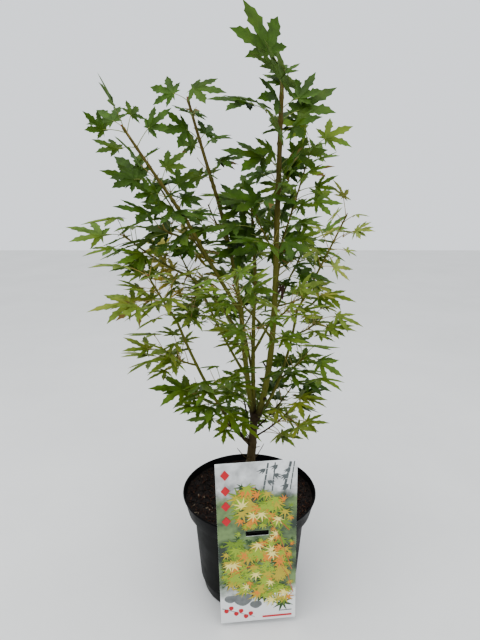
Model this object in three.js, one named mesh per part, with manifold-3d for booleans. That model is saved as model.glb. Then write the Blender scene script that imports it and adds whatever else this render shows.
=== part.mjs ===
// A young maple in a round nursery pot, with the picture card that hangs on the pot's rim.
// Millimetres, +Z up. The origin is the centre of the pot's flat underside, -Y is the front,
// where the card hangs, and +X is to the right.
import * as THREE from "three";
import { mergeVertices } from "three/addons/utils/BufferGeometryUtils.js";
import Module from "manifold-3d";

const wasm = await Module();
wasm.setup();

// The clearance between pieces that touch.
const SEAT_GAP = 0.3;
const DEGREE = Math.PI / 180;
const UP = new THREE.Vector3(0, 0, 1);

// Pot: a tapered wall with a deep collar at the top and a stepped foot.
const POT_HEIGHT = 150;
const POT_WALL = 1.6;
const POT_FLOOR = 3;
const POT_SEGMENTS = 32;
const LIP_RADIUS = 94;
const LIP_WIDTH = 1.8;
const LIP_BEAD = { out: 1.2, height: 3, edge_height: 2, rounding: 0.4 };
const COLLAR_HEIGHT = 25;
const COLLAR_LOW_RADIUS = 87.6;
const COLLAR_STEP = 0.8;
const BODY_TOP_RADIUS = 79;
const BODY_LOW_RADIUS = 70.8;
const FOOT_TOP_RADIUS = 69.8;
const FOOT_LOW_RADIUS = 66;
const FOOT_HEIGHT = 18;
const FOOT_STEP = 1;
const POT_FLOOR_RADIUS = FOOT_LOW_RADIUS - POT_WALL + 1;

// Soil: fills the pot, with a flat middle that rises a little towards the wall.
const SOIL_TOP = 138;
const SOIL_FLAT_RADIUS = 60;
const SOIL_EDGE_RISE = 4.5;

// Card: hangs by a punched tab that hooks over the rim.
const CARD = { width: 99, height: 245, thickness: 0.8, lean: 3, roll: -1.5, turn: 5, above_floor: 6.5 };
const CARD_TAB = { width: 29, slot_height: 7.5, above_rim: 1.2, thickness: 0.8, depth: 6.6 };

// Wood: three upright stems from one short trunk, and the boughs that leave them.
// foot, bend and tip are the three points of each limb's curve; foot_radius and tip_radius its taper.
const LIMB_SIDES = 6;
const LIMB_STEPS = 6;
const ROOT_FLARE = { extra_radius: 6, share_of_length: 0.22 };
const TRUNK_SHOULDER = { extra_radius: 0.6, share_of_length: 0.1 };
const LIMBS = [
  { name: "trunk", foot_radius: 7.4, tip_radius: 5.2,
    foot: [-2, 2, SOIL_TOP - 1], bend: [3, 2, 205], tip: [7, 1, 267] },
  { name: "leader_stem", foot_radius: 4.3, tip_radius: 3.5,
    foot: [10, 0, 258], bend: [34, -5, 335], tip: [31, -14, 498] },
  { name: "left_stem", foot_radius: 3.7, tip_radius: 3.2,
    foot: [5, 2, 258], bend: [-7, 6, 330], tip: [-12, 12, 412] },
  { name: "middle_stem", foot_radius: 3.2, tip_radius: 2.3,
    foot: [7, 6, 258], bend: [2, 10, 330], tip: [7, 26, 450] },
  { name: "upper_left_bough", foot_radius: 2.7, tip_radius: 2.4,
    foot: [-12, 12, 406], bend: [-22, 18, 480], tip: [-42, 24, 551] },
  { name: "far_left_bough", foot_radius: 2.6, tip_radius: 2.3,
    foot: [-12, 11, 404], bend: [-42, 2, 455], tip: [-80, -12, 529] },
  { name: "low_left_bough", foot_radius: 2.4, tip_radius: 1.6,
    foot: [3, 0, 216], bend: [-48, -20, 280], tip: [-90, -40, 407] },
  { name: "middle_left_bough", foot_radius: 2, tip_radius: 1.5,
    foot: [-9, 9, 366], bend: [-32, 6, 415], tip: [-76, 2, 454] },
  { name: "back_left_bough", foot_radius: 1.9, tip_radius: 1.4,
    foot: [-4, 7, 316], bend: [-34, 28, 358], tip: [-60, 44, 415] },
  { name: "right_bough", foot_radius: 2.2, tip_radius: 1.6,
    foot: [22, -2, 278], bend: [50, 10, 320], tip: [64, 28, 404] },
  { name: "back_right_bough", foot_radius: 1.9, tip_radius: 1.3,
    foot: [5, 12, 350], bend: [32, 46, 385], tip: [60, 84, 442] },
  { name: "back_bough", foot_radius: 1.9, tip_radius: 1.3,
    foot: [4, 11, 318], bend: [-4, 48, 352], tip: [-16, 84, 412] },
  { name: "front_bough", foot_radius: 1.7, tip_radius: 1.2,
    foot: [29, -6, 372], bend: [14, -34, 402], tip: [-6, -62, 428] },
];

// Foliage: each spray grows from one limb, at a share of its length (1 is the tip). azimuth is counted
// from +X towards +Y and rise from level, in degrees. reach is the length of the spray's own stem and lift
// how far its end bends up. pairs counts its pairs of leaves, petiole and leaf are their lengths and
// tip_leaf that of the last pair's blades. droop and tip_droop are how far a blade falls from level, and
// face how far it may turn to the light. turn is how far the first pair is turned about the stem, and
// seed picks the spreads.
const SPRAYS = [
  { name: "leader_top", limb: "leader_stem", at: 1, azimuth: -75, rise: 87, reach: 194, lift: 0,
    pairs: 7, petiole: 26, leaf: 46, tip_leaf: 72, droop: -25, tip_droop: -55, face: 45, turn: 0, seed: 16 },
  { name: "upper_left_top", limb: "upper_left_bough", at: 1, azimuth: 160, rise: 72, reach: 122, lift: 2,
    pairs: 3, petiole: 20, leaf: 38, tip_leaf: 44, droop: -15, tip_droop: -12, face: 45, turn: 90, seed: 9 },
  { name: "far_left_top", limb: "far_left_bough", at: 1, azimuth: 196, rise: 56, reach: 120, lift: 1,
    pairs: 5, petiole: 24, leaf: 36, tip_leaf: 42, droop: -25, tip_droop: -45, face: 45, turn: 0, seed: 10 },
  { name: "far_left_twin", limb: "far_left_bough", at: 0.5, azimuth: 165, rise: 54, reach: 122, lift: 4,
    pairs: 4, petiole: 24, leaf: 38, tip_leaf: 44, droop: -10, tip_droop: -30, face: 40, turn: 0, seed: 20 },
  { name: "low_left_top", limb: "low_left_bough", at: 1, azimuth: 200, rise: 60, reach: 64, lift: 2,
    pairs: 4, petiole: 30, leaf: 41, tip_leaf: 41, droop: -8, tip_droop: -10, face: 5, turn: 0, seed: 5 },
  { name: "low_left_middle", limb: "low_left_bough", at: 0.7, azimuth: 180, rise: 20, reach: 44, lift: 4,
    pairs: 3, petiole: 26, leaf: 41, tip_leaf: 41, droop: -6, tip_droop: -8, face: 5, turn: 0, seed: 6 },
  { name: "low_left_foot", limb: "low_left_bough", at: 0.4, azimuth: 206, rise: 26, reach: 34, lift: 5,
    pairs: 3, petiole: 22, leaf: 39, tip_leaf: 39, droop: -6, tip_droop: -8, face: 5, turn: 0, seed: 7 },
  { name: "low_left_inner", limb: "low_left_bough", at: 0.5, azimuth: 310, rise: 32, reach: 34, lift: 3,
    pairs: 2, petiole: 24, leaf: 39, tip_leaf: 39, droop: -8, tip_droop: -8, face: 5, turn: 0, seed: 8 },
  { name: "middle_left_top", limb: "middle_left_bough", at: 1, azimuth: 182, rise: 30, reach: 94, lift: 6,
    pairs: 4, petiole: 28, leaf: 46, tip_leaf: 46, droop: 0, tip_droop: -10, face: 15, turn: 0, seed: 9 },
  { name: "middle_left_low", limb: "middle_left_bough", at: 0.7, azimuth: 210, rise: 0, reach: 46, lift: 4,
    pairs: 3, petiole: 30, leaf: 41, tip_leaf: 41, droop: -6, tip_droop: -8, face: 5, turn: 0, seed: 10 },
  { name: "back_left_top", limb: "back_left_bough", at: 1, azimuth: 150, rise: 52, reach: 66, lift: 6,
    pairs: 4, petiole: 30, leaf: 39, tip_leaf: 39, droop: 0, tip_droop: -10, face: 15, turn: 0, seed: 11 },
  { name: "back_left_low", limb: "back_left_bough", at: 0.6, azimuth: 110, rise: 22, reach: 50, lift: 4,
    pairs: 3, petiole: 26, leaf: 37, tip_leaf: 37, droop: -6, tip_droop: -8, face: 5, turn: 0, seed: 12 },
  { name: "middle_top", limb: "middle_stem", at: 1, azimuth: 122, rise: 84, reach: 96, lift: 0,
    pairs: 4, petiole: 36, leaf: 40, tip_leaf: 40, droop: -15, tip_droop: -30, face: 35, turn: 0, seed: 16 },
  { name: "middle_inner", limb: "middle_stem", at: 0.5, azimuth: 262, rise: 40, reach: 44, lift: 4,
    pairs: 3, petiole: 26, leaf: 35, tip_leaf: 35, droop: -6, tip_droop: -6, face: 10, turn: 0, seed: 14 },
  { name: "right_top", limb: "right_bough", at: 1, azimuth: 18, rise: 61, reach: 140, lift: 3,
    pairs: 4, petiole: 26, leaf: 32, tip_leaf: 32, droop: -5, tip_droop: -45, face: 25, turn: 0, seed: 15 },
  { name: "right_middle", limb: "right_bough", at: 0.75, azimuth: 0, rise: 25, reach: 42, lift: 5,
    pairs: 3, petiole: 26, leaf: 39, tip_leaf: 39, droop: -8, tip_droop: -8, face: 15, turn: 0, seed: 16 },
  { name: "right_low", limb: "right_bough", at: 0.3, azimuth: -40, rise: 44, reach: 60, lift: 5,
    pairs: 3, petiole: 26, leaf: 41, tip_leaf: 41, droop: -8, tip_droop: -10, face: 10, turn: 0, seed: 17 },
  { name: "low_right_front", limb: "trunk", at: 0.7, azimuth: -10, rise: 40, reach: 80, lift: 6,
    pairs: 3, petiole: 28, leaf: 45, tip_leaf: 45, droop: -6, tip_droop: -8, face: 10, turn: 0, seed: 18 },
  { name: "low_right_back", limb: "trunk", at: 0.78, azimuth: 24, rise: 40, reach: 80, lift: 6,
    pairs: 3, petiole: 26, leaf: 39, tip_leaf: 39, droop: -8, tip_droop: -8, face: 10, turn: 0, seed: 9 },
  { name: "low_front", limb: "trunk", at: 0.66, azimuth: 206, rise: 40, reach: 52, lift: 4,
    pairs: 3, petiole: 24, leaf: 37, tip_leaf: 37, droop: 4, tip_droop: 4, face: 20, turn: 0, seed: 20 },
  { name: "low_back", limb: "trunk", at: 0.68, azimuth: 104, rise: 38, reach: 72, lift: 6,
    pairs: 3, petiole: 26, leaf: 39, tip_leaf: 39, droop: -6, tip_droop: -6, face: 5, turn: 0, seed: 21 },
  { name: "back_right_top", limb: "back_right_bough", at: 1, azimuth: 48, rise: 50, reach: 60, lift: 5,
    pairs: 4, petiole: 28, leaf: 39, tip_leaf: 39, droop: 0, tip_droop: -10, face: 20, turn: 0, seed: 22 },
  { name: "back_right_low", limb: "back_right_bough", at: 0.6, azimuth: 12, rise: 15, reach: 50, lift: 4,
    pairs: 3, petiole: 26, leaf: 37, tip_leaf: 37, droop: -4, tip_droop: -4, face: 5, turn: 0, seed: 23 },
  { name: "back_top", limb: "back_bough", at: 1, azimuth: 90, rise: 56, reach: 64, lift: 5,
    pairs: 4, petiole: 28, leaf: 41, tip_leaf: 41, droop: 0, tip_droop: -10, face: 15, turn: 0, seed: 24 },
  { name: "back_low", limb: "back_bough", at: 0.6, azimuth: 70, rise: 20, reach: 52, lift: 4,
    pairs: 3, petiole: 26, leaf: 39, tip_leaf: 39, droop: -4, tip_droop: -4, face: 5, turn: 0, seed: 25 },
  { name: "front_top", limb: "front_bough", at: 1, azimuth: 246, rise: 40, reach: 46, lift: 4,
    pairs: 3, petiole: 26, leaf: 35, tip_leaf: 35, droop: -5, tip_droop: 0, face: 20, turn: 0, seed: 26 },
  { name: "front_low", limb: "front_bough", at: 0.5, azimuth: 262, rise: 5, reach: 40, lift: 4,
    pairs: 2, petiole: 24, leaf: 33, tip_leaf: 33, droop: -6, tip_droop: -6, face: 10, turn: 0, seed: 27 },
  { name: "leader_right", limb: "leader_stem", at: 0.92, azimuth: 14, rise: 72, reach: 132, lift: 4,
    pairs: 4, petiole: 26, leaf: 40, tip_leaf: 44, droop: -15, tip_droop: -25, face: 40, turn: 0, seed: 23 },
  { name: "leader_left", limb: "leader_stem", at: 0.94, azimuth: 196, rise: 60, reach: 56, lift: 4,
    pairs: 3, petiole: 28, leaf: 46, tip_leaf: 46, droop: -10, tip_droop: -20, face: 35, turn: 0, seed: 29 },
  { name: "leader_front", limb: "leader_stem", at: 0.6, azimuth: -60, rise: 32, reach: 48, lift: 4,
    pairs: 3, petiole: 26, leaf: 34, tip_leaf: 34, droop: -20, tip_droop: -20, face: 30, turn: 0, seed: 30 },
  { name: "leader_back", limb: "leader_stem", at: 0.75, azimuth: 76, rise: 45, reach: 66, lift: 5,
    pairs: 3, petiole: 28, leaf: 41, tip_leaf: 41, droop: -10, tip_droop: -10, face: 25, turn: 0, seed: 31 },
  { name: "upper_left_back", limb: "upper_left_bough", at: 0.6, azimuth: 126, rise: 42, reach: 64, lift: 5,
    pairs: 3, petiole: 28, leaf: 41, tip_leaf: 41, droop: 0, tip_droop: -5, face: 20, turn: 0, seed: 33 },
  { name: "far_left_low", limb: "far_left_bough", at: 0.8, azimuth: 214, rise: 12, reach: 50, lift: 5,
    pairs: 3, petiole: 28, leaf: 43, tip_leaf: 43, droop: 0, tip_droop: 0, face: 10, turn: 0, seed: 34 },
];

// The rule of growth, the same for every spray. A steep spray turns each pair a quarter from the one
// below it, and a level one fans its pairs out flat. Angles are in degrees, spreads are either way.
const STEEP_RISE = 40;
const HABIT = {
  steep: { first_pair: 0.2, turn_per_pair: 90 },
  level: { first_pair: 0.4, turn_per_pair: 24 },
};
const LAST_PAIR = 0.98;
const OPENING = { along: 56, at_tip: 40 };
const SPREAD = { turn: 26, opening: 12, stalk: 0.22, blade: 0.16, droop: 18, roll: 26 };
const SHOOT = {
  tip_share: 0.65,
  at_tip: { sides: 5, steps: 5 },
  aside: { sides: 3, steps: 3, foot_radius: 1.25 },
};
const STALK = { foot_radius: 0.7, tip_radius: 0.6, sides: 3 };
const FORK = {
  chance: 0.2,
  twig_length: 1.35,
  twig_radius: 0.9,
  foot_share: 0.45,
  opening: 46,
  stalk_share: 0.5,
  blade_share: 0.82,
  droop_step: 8,
};
// The widest angle between a stalk and its blade's middle lobe.
const STALK_TO_BLADE = 75;
// Where the light comes from that the blades turn their faces to.
const LIGHT = new THREE.Vector3(0, -1, 0.4).normalize();
const TRIES = [
  { swing: 0, droop: 0 },
  { swing: 26, droop: 14 },
  { swing: -26, droop: -16 },
];

// One leaf: lobes spread like fingers from the petiole's end. angle is from the middle lobe and
// length a share of the middle lobe's.
const LOBES = [
  { angle: -88, length: 0.52 },
  { angle: -45, length: 0.8 },
  { angle: 0, length: 1 },
  { angle: 45, length: 0.8 },
  { angle: 88, length: 0.52 },
];
const NOTCH = { length: 0.38, rise: 0.035 };
const TIP_FALL = 0.13;
const BLADE_THICKNESS = 0.03;

// How much larger a blade and a stalk are taken when there is a test for room round them.
const TEST_MARGIN = { length: 1.05, thickness: 1.2, radius: SEAT_GAP };

// The room the crown grows in: a rounded box, above the pot's rim.
const CROWN = { centre: [-46, 0, 472], half: [204, 176, 300], power: 4, lowest: POT_HEIGHT + 14 };

// A number from 0 to 1 that depends only on a spray's seed and a count.
function chance(seed, count) {
  const wave = Math.sin(seed * 12.9898 + count * 78.233) * 43758.5453;
  return wave - Math.floor(wave);
}

function vector([x, y, z]) {
  return new THREE.Vector3(x, y, z);
}

function heading(azimuth, rise) {
  const level = Math.cos(rise * DEGREE);
  const x = level * Math.cos(azimuth * DEGREE);
  const y = level * Math.sin(azimuth * DEGREE);
  return new THREE.Vector3(x, y, Math.sin(rise * DEGREE));
}

// Booleans: a closed three.js geometry as a solid, and back.
function solidOf(geometry) {
  const plain = geometry.clone();
  plain.deleteAttribute("normal");
  plain.deleteAttribute("uv");
  const merged = mergeVertices(plain, 1e-4);
  return new wasm.Manifold(
    new wasm.Mesh({
      numProp: 3,
      vertProperties: new Float32Array(merged.attributes.position.array),
      triVerts: new Uint32Array(merged.index.array),
    }),
  );
}

function geometryOf(solid) {
  const mesh = solid.getMesh();
  const geometry = new THREE.BufferGeometry();
  geometry.setAttribute("position", new THREE.BufferAttribute(mesh.vertProperties, 3));
  geometry.setIndex(new THREE.BufferAttribute(mesh.triVerts, 1));
  const faceted = geometry.toNonIndexed();
  faceted.computeVertexNormals();
  return faceted;
}

function largestPiece(solid) {
  return solid.decompose().reduce((best, piece) => (piece.volume() > best.volume() ? piece : best));
}

// A cylinder from three.js, bent along a curve. radiusAt gives its radius at a share of the length.
function bentRod(curve, radiusAt, sides, steps) {
  const rod = new THREE.CylinderGeometry(1, 1, 1, sides, steps);
  const frames = curve.computeFrenetFrames(steps, false);
  const position = rod.attributes.position;
  const point = new THREE.Vector3();
  for (let i = 0; i < position.count; i += 1) {
    point.fromBufferAttribute(position, i);
    const share = point.y + 0.5;
    const step = Math.round(share * steps);
    const radius = radiusAt(share);
    const place = curve.getPointAt(share);
    place.addScaledVector(frames.normals[step], point.z * radius);
    place.addScaledVector(frames.binormals[step], point.x * radius);
    position.setXYZ(i, place.x, place.y, place.z);
  }
  return rod;
}

// A limb's radius at a share of its length, and extra all round. The trunk flares at its foot and
// has a shoulder where it forks.
function limbRadius(limb, share, extra) {
  let radius = limb.foot_radius + (limb.tip_radius - limb.foot_radius) * share;
  if (limb.name === "trunk") {
    const foot = Math.max(0, 1 - share / ROOT_FLARE.share_of_length);
    const top = Math.max(0, 1 - (1 - share) / TRUNK_SHOULDER.share_of_length);
    radius += ROOT_FLARE.extra_radius * foot * foot + TRUNK_SHOULDER.extra_radius * top;
  }
  return radius + extra;
}

function limbCurve(limb) {
  return new THREE.QuadraticBezierCurve3(vector(limb.foot), vector(limb.bend), vector(limb.tip));
}

// The same limb a seat gap larger all round and at its end, for cutting what meets it.
function grownLimb(limb) {
  const curve = limbCurve(limb);
  const past = curve.getTangentAt(1).multiplyScalar(SEAT_GAP);
  const longer = new THREE.QuadraticBezierCurve3(curve.v0, curve.v1, curve.v2.clone().add(past));
  return solidOf(bentRod(longer, (share) => limbRadius(limb, share, SEAT_GAP), LIMB_SIDES, LIMB_STEPS));
}

// Makes every limb; each is cut clear of those before it where it leaves them, and the trunk, which
// leans, is cut level over the soil.
function makeLimbs() {
  const made = [];
  for (const limb of LIMBS) {
    const curve = limbCurve(limb);
    let solid = solidOf(bentRod(curve, (share) => limbRadius(limb, share, 0), LIMB_SIDES, LIMB_STEPS));
    if (limb.name === "trunk") solid = solid.trimByPlane([0, 0, 1], SOIL_TOP + SEAT_GAP);
    for (const other of made) solid = largestPiece(solid.subtract(other.grown));
    made.push({ name: limb.name, curve, solid, grown: grownLimb(limb), tip_radius: limb.tip_radius });
  }
  return made;
}

// The rim of a blade from its left heel round to its right heel. leaf.joint is where its petiole ends,
// forward the way of its middle lobe, and normal the way its upper face looks.
function bladeRim(leaf, longer) {
  const side = new THREE.Vector3().crossVectors(leaf.normal, leaf.forward);
  const length = leaf.length * longer;
  const at = (angle, reach, rise) =>
    leaf.joint
      .clone()
      .addScaledVector(leaf.forward, Math.cos(angle * DEGREE) * reach * length)
      .addScaledVector(side, Math.sin(angle * DEGREE) * reach * length)
      .addScaledVector(leaf.normal, rise * length);
  const rim = [leaf.joint.clone().addScaledVector(side, -STALK.tip_radius)];
  LOBES.forEach((lobe, i) => {
    if (i > 0) rim.push(at((LOBES[i - 1].angle + lobe.angle) / 2, NOTCH.length, NOTCH.rise));
    rim.push(at(lobe.angle, lobe.length, -TIP_FALL * lobe.length));
  });
  rim.push(leaf.joint.clone().addScaledVector(side, STALK.tip_radius));
  return rim;
}

// A blade alone, for trying whether there is room for it.
function bladeGeometry(leaf) {
  const rim = bladeRim(leaf, TEST_MARGIN.length);
  const half = 0.5 * BLADE_THICKNESS * leaf.length * TEST_MARGIN.thickness;
  const middles = [half, -half].map((rise) => leaf.joint.clone().addScaledVector(leaf.normal, rise));
  const faces = [];
  rim.forEach((_, i) => {
    const next = (i + 1) % rim.length;
    faces.push(rim.length, i, next, rim.length + 1, next, i);
  });
  return new THREE.BufferGeometry().setFromPoints([...rim, ...middles]).setIndex(faces);
}

// Three points round a place, square to a direction, the first of them towards the blade's upper face.
function triangleRound(place, direction, top, radius) {
  const up = top.clone().addScaledVector(direction, -top.dot(direction)).normalize();
  return [0, 120, 240].map((turn) =>
    place.clone().addScaledVector(up.clone().applyAxisAngle(direction, turn * DEGREE), radius),
  );
}

// A blade and its petiole as one closed surface: a three-sided rod that opens into a star.
function leafGeometry(leaf) {
  const half = 0.5 * BLADE_THICKNESS * leaf.length;
  const rim = bladeRim(leaf, 1);
  const points = [
    ...triangleRound(leaf.foot, leaf.way, leaf.normal, leaf.stalk_radius),
    leaf.joint.clone().addScaledVector(leaf.normal, half),
    leaf.joint.clone().addScaledVector(leaf.normal, -half),
    ...rim,
  ];
  const [top, below, right, left] = [3, 4, 5, 4 + rim.length];
  const faces = [0, 2, 1, 0, 1, right, 0, right, top, 1, below, right];
  faces.push(1, 2, below, 2, left, below, 2, 0, top, 2, top, left);
  for (let i = right; i < left; i += 1) faces.push(top, i, i + 1, below, i + 1, i);
  return new THREE.BufferGeometry().setFromPoints(points).setIndex(faces);
}

// The turn about forward, in degrees, that brings a blade's face to the light, no more than most.
function turnToLight(flat, forward, most) {
  const towards = LIGHT.clone().addScaledVector(forward, -LIGHT.dot(forward));
  const across = new THREE.Vector3().crossVectors(flat, towards).dot(forward);
  const turn = Math.atan2(across, flat.dot(towards)) / DEGREE;
  return Math.max(-most, Math.min(most, turn));
}

// The ways in which one leaf is tried: first as it would grow, then swung and tilted aside.
// want holds its way, stalk length, blade length, droop and roll.
function leafChoices(foot, want) {
  return TRIES.map((attempt) => {
    const way = want.way.clone().applyAxisAngle(UP, attempt.swing * DEGREE);
    const climb = Math.asin(way.z) / DEGREE;
    const fall = Math.min(want.droop + attempt.droop, STALK_TO_BLADE - climb) * DEGREE;
    const level = new THREE.Vector3(way.x, way.y, 0).normalize();
    const forward = level.clone().multiplyScalar(Math.cos(fall)).addScaledVector(UP, -Math.sin(fall));
    const flat = level.multiplyScalar(Math.sin(fall)).addScaledVector(UP, Math.cos(fall));
    const turn = turnToLight(flat, forward, want.face) + want.roll;
    const normal = flat.applyAxisAngle(forward, turn * DEGREE);
    const joint = foot.clone().addScaledVector(way, want.stalk);
    return { ...want, foot, way, joint, forward, normal, length: want.blade };
  });
}

// The two smaller leaves that a fork carries: they leave the stalk of the leaf between them.
function forkChoices(leaf) {
  const foot = leaf.foot.clone().lerp(leaf.joint, FORK.foot_share);
  return [1, -1].map((hand) =>
    leafChoices(foot, {
      way: leaf.way.clone().applyAxisAngle(UP, hand * FORK.opening * DEGREE),
      stalk: leaf.stalk * FORK.stalk_share,
      blade: leaf.blade * FORK.blade_share,
      droop: leaf.droop + hand * FORK.droop_step,
      roll: leaf.roll,
      face: leaf.face,
      stalk_radius: STALK.foot_radius,
    }),
  );
}

// A spray's stem, and every leaf that it would grow if nothing were in the way: opposite pairs, each
// pair turned from the one below it, and here and there a fork of three leaves in place of one.
function growSpray(spray, limb) {
  const foot = limb.curve.getPointAt(spray.at);
  const way = heading(spray.azimuth, spray.rise);
  const middle = foot.clone().addScaledVector(way, spray.reach / 2).addScaledVector(UP, -spray.lift);
  const end = foot.clone().addScaledVector(way, spray.reach).addScaledVector(UP, spray.lift);
  const stem = new THREE.QuadraticBezierCurve3(foot, middle, end);
  const habit = spray.rise > STEEP_RISE ? HABIT.steep : HABIT.level;
  const buds = [];
  let count = 0;
  const draw = () => 2 * chance(spray.seed, (count += 1)) - 1;
  for (let k = 0; k < spray.pairs; k += 1) {
    const last = k === spray.pairs - 1;
    const share = habit.first_pair + (LAST_PAIR - habit.first_pair) * (k / (spray.pairs - 1));
    const node = stem.getPointAt(share);
    const along = stem.getTangentAt(share);
    const across = new THREE.Vector3().crossVectors(along, UP).normalize();
    const turn = (spray.turn + k * habit.turn_per_pair + draw() * SPREAD.turn) * DEGREE;
    for (const hand of [1, -1]) {
      const opening = ((last ? OPENING.at_tip : OPENING.along) + draw() * SPREAD.opening) * DEGREE;
      const out = across.clone().applyAxisAngle(along, turn).multiplyScalar(hand);
      const want = {
        way: along.clone().multiplyScalar(Math.cos(opening)).addScaledVector(out, Math.sin(opening)),
        stalk: spray.petiole * (1 + SPREAD.stalk * draw()),
        blade: (last ? spray.tip_leaf : spray.leaf) * (1 + SPREAD.blade * draw()),
        droop: (last ? spray.tip_droop : spray.droop) + SPREAD.droop * draw(),
        roll: SPREAD.roll * draw(),
        face: spray.face,
        stalk_radius: STALK.foot_radius,
      };
      const forks = chance(spray.seed, (count += 1)) < FORK.chance && !last;
      if (forks) {
        want.stalk *= FORK.twig_length;
        want.stalk_radius = FORK.twig_radius;
      }
      buds.push({ choices: leafChoices(node, want), forks });
    }
  }
  return { stem, buds };
}

function insideCrown(leaf) {
  const tip = leaf.joint.clone().addScaledVector(leaf.forward, leaf.length);
  const total = ["x", "y", "z"].reduce(
    (sum, axis, i) => sum + Math.abs((tip[axis] - CROWN.centre[i]) / CROWN.half[i]) ** CROWN.power,
    0,
  );
  return total < 1 && Math.min(tip.z, leaf.joint.z) > CROWN.lowest;
}

// A stalk a little fatter than it is, for trying whether there is room for it.
function stalkGeometry(leaf) {
  const taper = STALK.tip_radius - leaf.stalk_radius;
  const radiusAt = (share) => leaf.stalk_radius + taper * share + TEST_MARGIN.radius;
  return bentRod(new THREE.LineCurve3(leaf.foot, leaf.joint), radiusAt, STALK.sides, 1);
}

// A solid with its box, so that pieces far apart needn't be compared.
function boxed(solid) {
  return { solid, box: solid.boundingBox() };
}

function touches({ solid, box }, others) {
  return others.some(
    (other) =>
      [0, 1, 2].every((i) => box.min[i] < other.box.max[i] && box.max[i] > other.box.min[i]) &&
      solid.intersect(other.solid).volume() > 0,
  );
}

// A spray before its leaves: what would grow on it, and its stem, cut clear of every limb. A spray at
// a limb's tip goes on with that limb's own thickness.
function startSpray(spray, limbs) {
  const limb = limbs.find((l) => l.name === spray.limb);
  const { stem, buds } = growSpray(spray, limb);
  const shape = spray.at === 1 ? { ...SHOOT.at_tip, foot_radius: limb.tip_radius } : SHOOT.aside;
  const taper = (share) => shape.foot_radius * (1 + (SHOOT.tip_share - 1) * share);
  let wood = solidOf(bentRod(stem, taper, shape.sides, shape.steps));
  for (const other of limbs) wood = largestPiece(wood.subtract(other.grown));
  return { name: spray.name, buds, wood: boxed(wood) };
}

// Puts a spray's leaves on its stem, as a single solid. obstacles are the limbs, the other sprays' stems
// and the sprays that have their leaves already. A leaf that would leave the crown, or touch an obstacle
// or another leaf, is tried aside and else left out.
function finishSpray(spray, obstacles) {
  const wooden = [spray.wood];
  const blades = [];
  const pieces = [spray.wood.solid];
  const place = (choices) => {
    for (const leaf of choices) {
      if (!insideCrown(leaf)) continue;
      const blade = boxed(solidOf(bladeGeometry(leaf)));
      if (touches(blade, obstacles) || touches(blade, blades) || touches(blade, wooden)) continue;
      const stalk = boxed(solidOf(stalkGeometry(leaf)));
      if (touches(stalk, obstacles) || touches(stalk, blades)) continue;
      blades.push(blade);
      wooden.push(stalk);
      pieces.push(solidOf(leafGeometry(leaf)));
      return leaf;
    }
    return null;
  };
  for (const bud of spray.buds) {
    const leaf = place(bud.choices);
    if (leaf && bud.forks) forkChoices(leaf).forEach(place);
  }
  return { name: spray.name, solid: largestPiece(wasm.Manifold.union(pieces)) };
}

// Every spray in turn, each with its own room.
function makeSprays(limbs) {
  const started = SPRAYS.map((spray) => startSpray(spray, limbs));
  const wood = limbs.map((limb) => boxed(limb.grown));
  const made = [];
  for (const spray of started) {
    const others = started.filter((other) => other !== spray).map((other) => other.wood);
    const leafy = made.map((other) => boxed(other.solid));
    made.push(finishSpray(spray, [...wood, ...others, ...leafy]));
  }
  return made;
}

// Shapes are drawn as profiles turned about the upright axis, from radius and height pairs.
function turned(profile) {
  const lathe = new THREE.LatheGeometry(profile.map(([r, z]) => new THREE.Vector2(r, z)), POT_SEGMENTS);
  return lathe.rotateX(Math.PI / 2);
}

function potGeometry() {
  const collarLow = POT_HEIGHT - COLLAR_HEIGHT;
  return turned([
    [0, 0],
    [FOOT_LOW_RADIUS, 0],
    [FOOT_TOP_RADIUS, FOOT_HEIGHT],
    [BODY_LOW_RADIUS, FOOT_HEIGHT + FOOT_STEP],
    [BODY_TOP_RADIUS, collarLow - COLLAR_STEP],
    [COLLAR_LOW_RADIUS, collarLow],
    [LIP_RADIUS - LIP_BEAD.out, POT_HEIGHT - LIP_BEAD.height],
    [LIP_RADIUS, POT_HEIGHT - LIP_BEAD.edge_height],
    [LIP_RADIUS - LIP_BEAD.rounding, POT_HEIGHT],
    [LIP_RADIUS - LIP_WIDTH, POT_HEIGHT],
    [COLLAR_LOW_RADIUS - POT_WALL, collarLow + POT_WALL],
    [BODY_TOP_RADIUS - POT_WALL, collarLow + POT_WALL - COLLAR_STEP],
    [POT_FLOOR_RADIUS, POT_FLOOR],
    [0, POT_FLOOR],
  ]);
}

function soilGeometry() {
  const ledge = POT_HEIGHT - COLLAR_HEIGHT + POT_WALL + SEAT_GAP;
  const edge = SOIL_TOP + SOIL_EDGE_RISE;
  const wallFoot = COLLAR_LOW_RADIUS - POT_WALL;
  const wallSlope = (LIP_RADIUS - LIP_WIDTH - wallFoot) / (COLLAR_HEIGHT - POT_WALL);
  return turned([
    [0, POT_FLOOR + SEAT_GAP],
    [POT_FLOOR_RADIUS - SEAT_GAP, POT_FLOOR + SEAT_GAP],
    [BODY_TOP_RADIUS - POT_WALL - SEAT_GAP, ledge],
    [wallFoot - SEAT_GAP, ledge + SEAT_GAP],
    [wallFoot + wallSlope * (edge - ledge) - SEAT_GAP, edge],
    [SOIL_FLAT_RADIUS, SOIL_TOP],
    [0, SOIL_TOP],
  ]);
}

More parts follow.
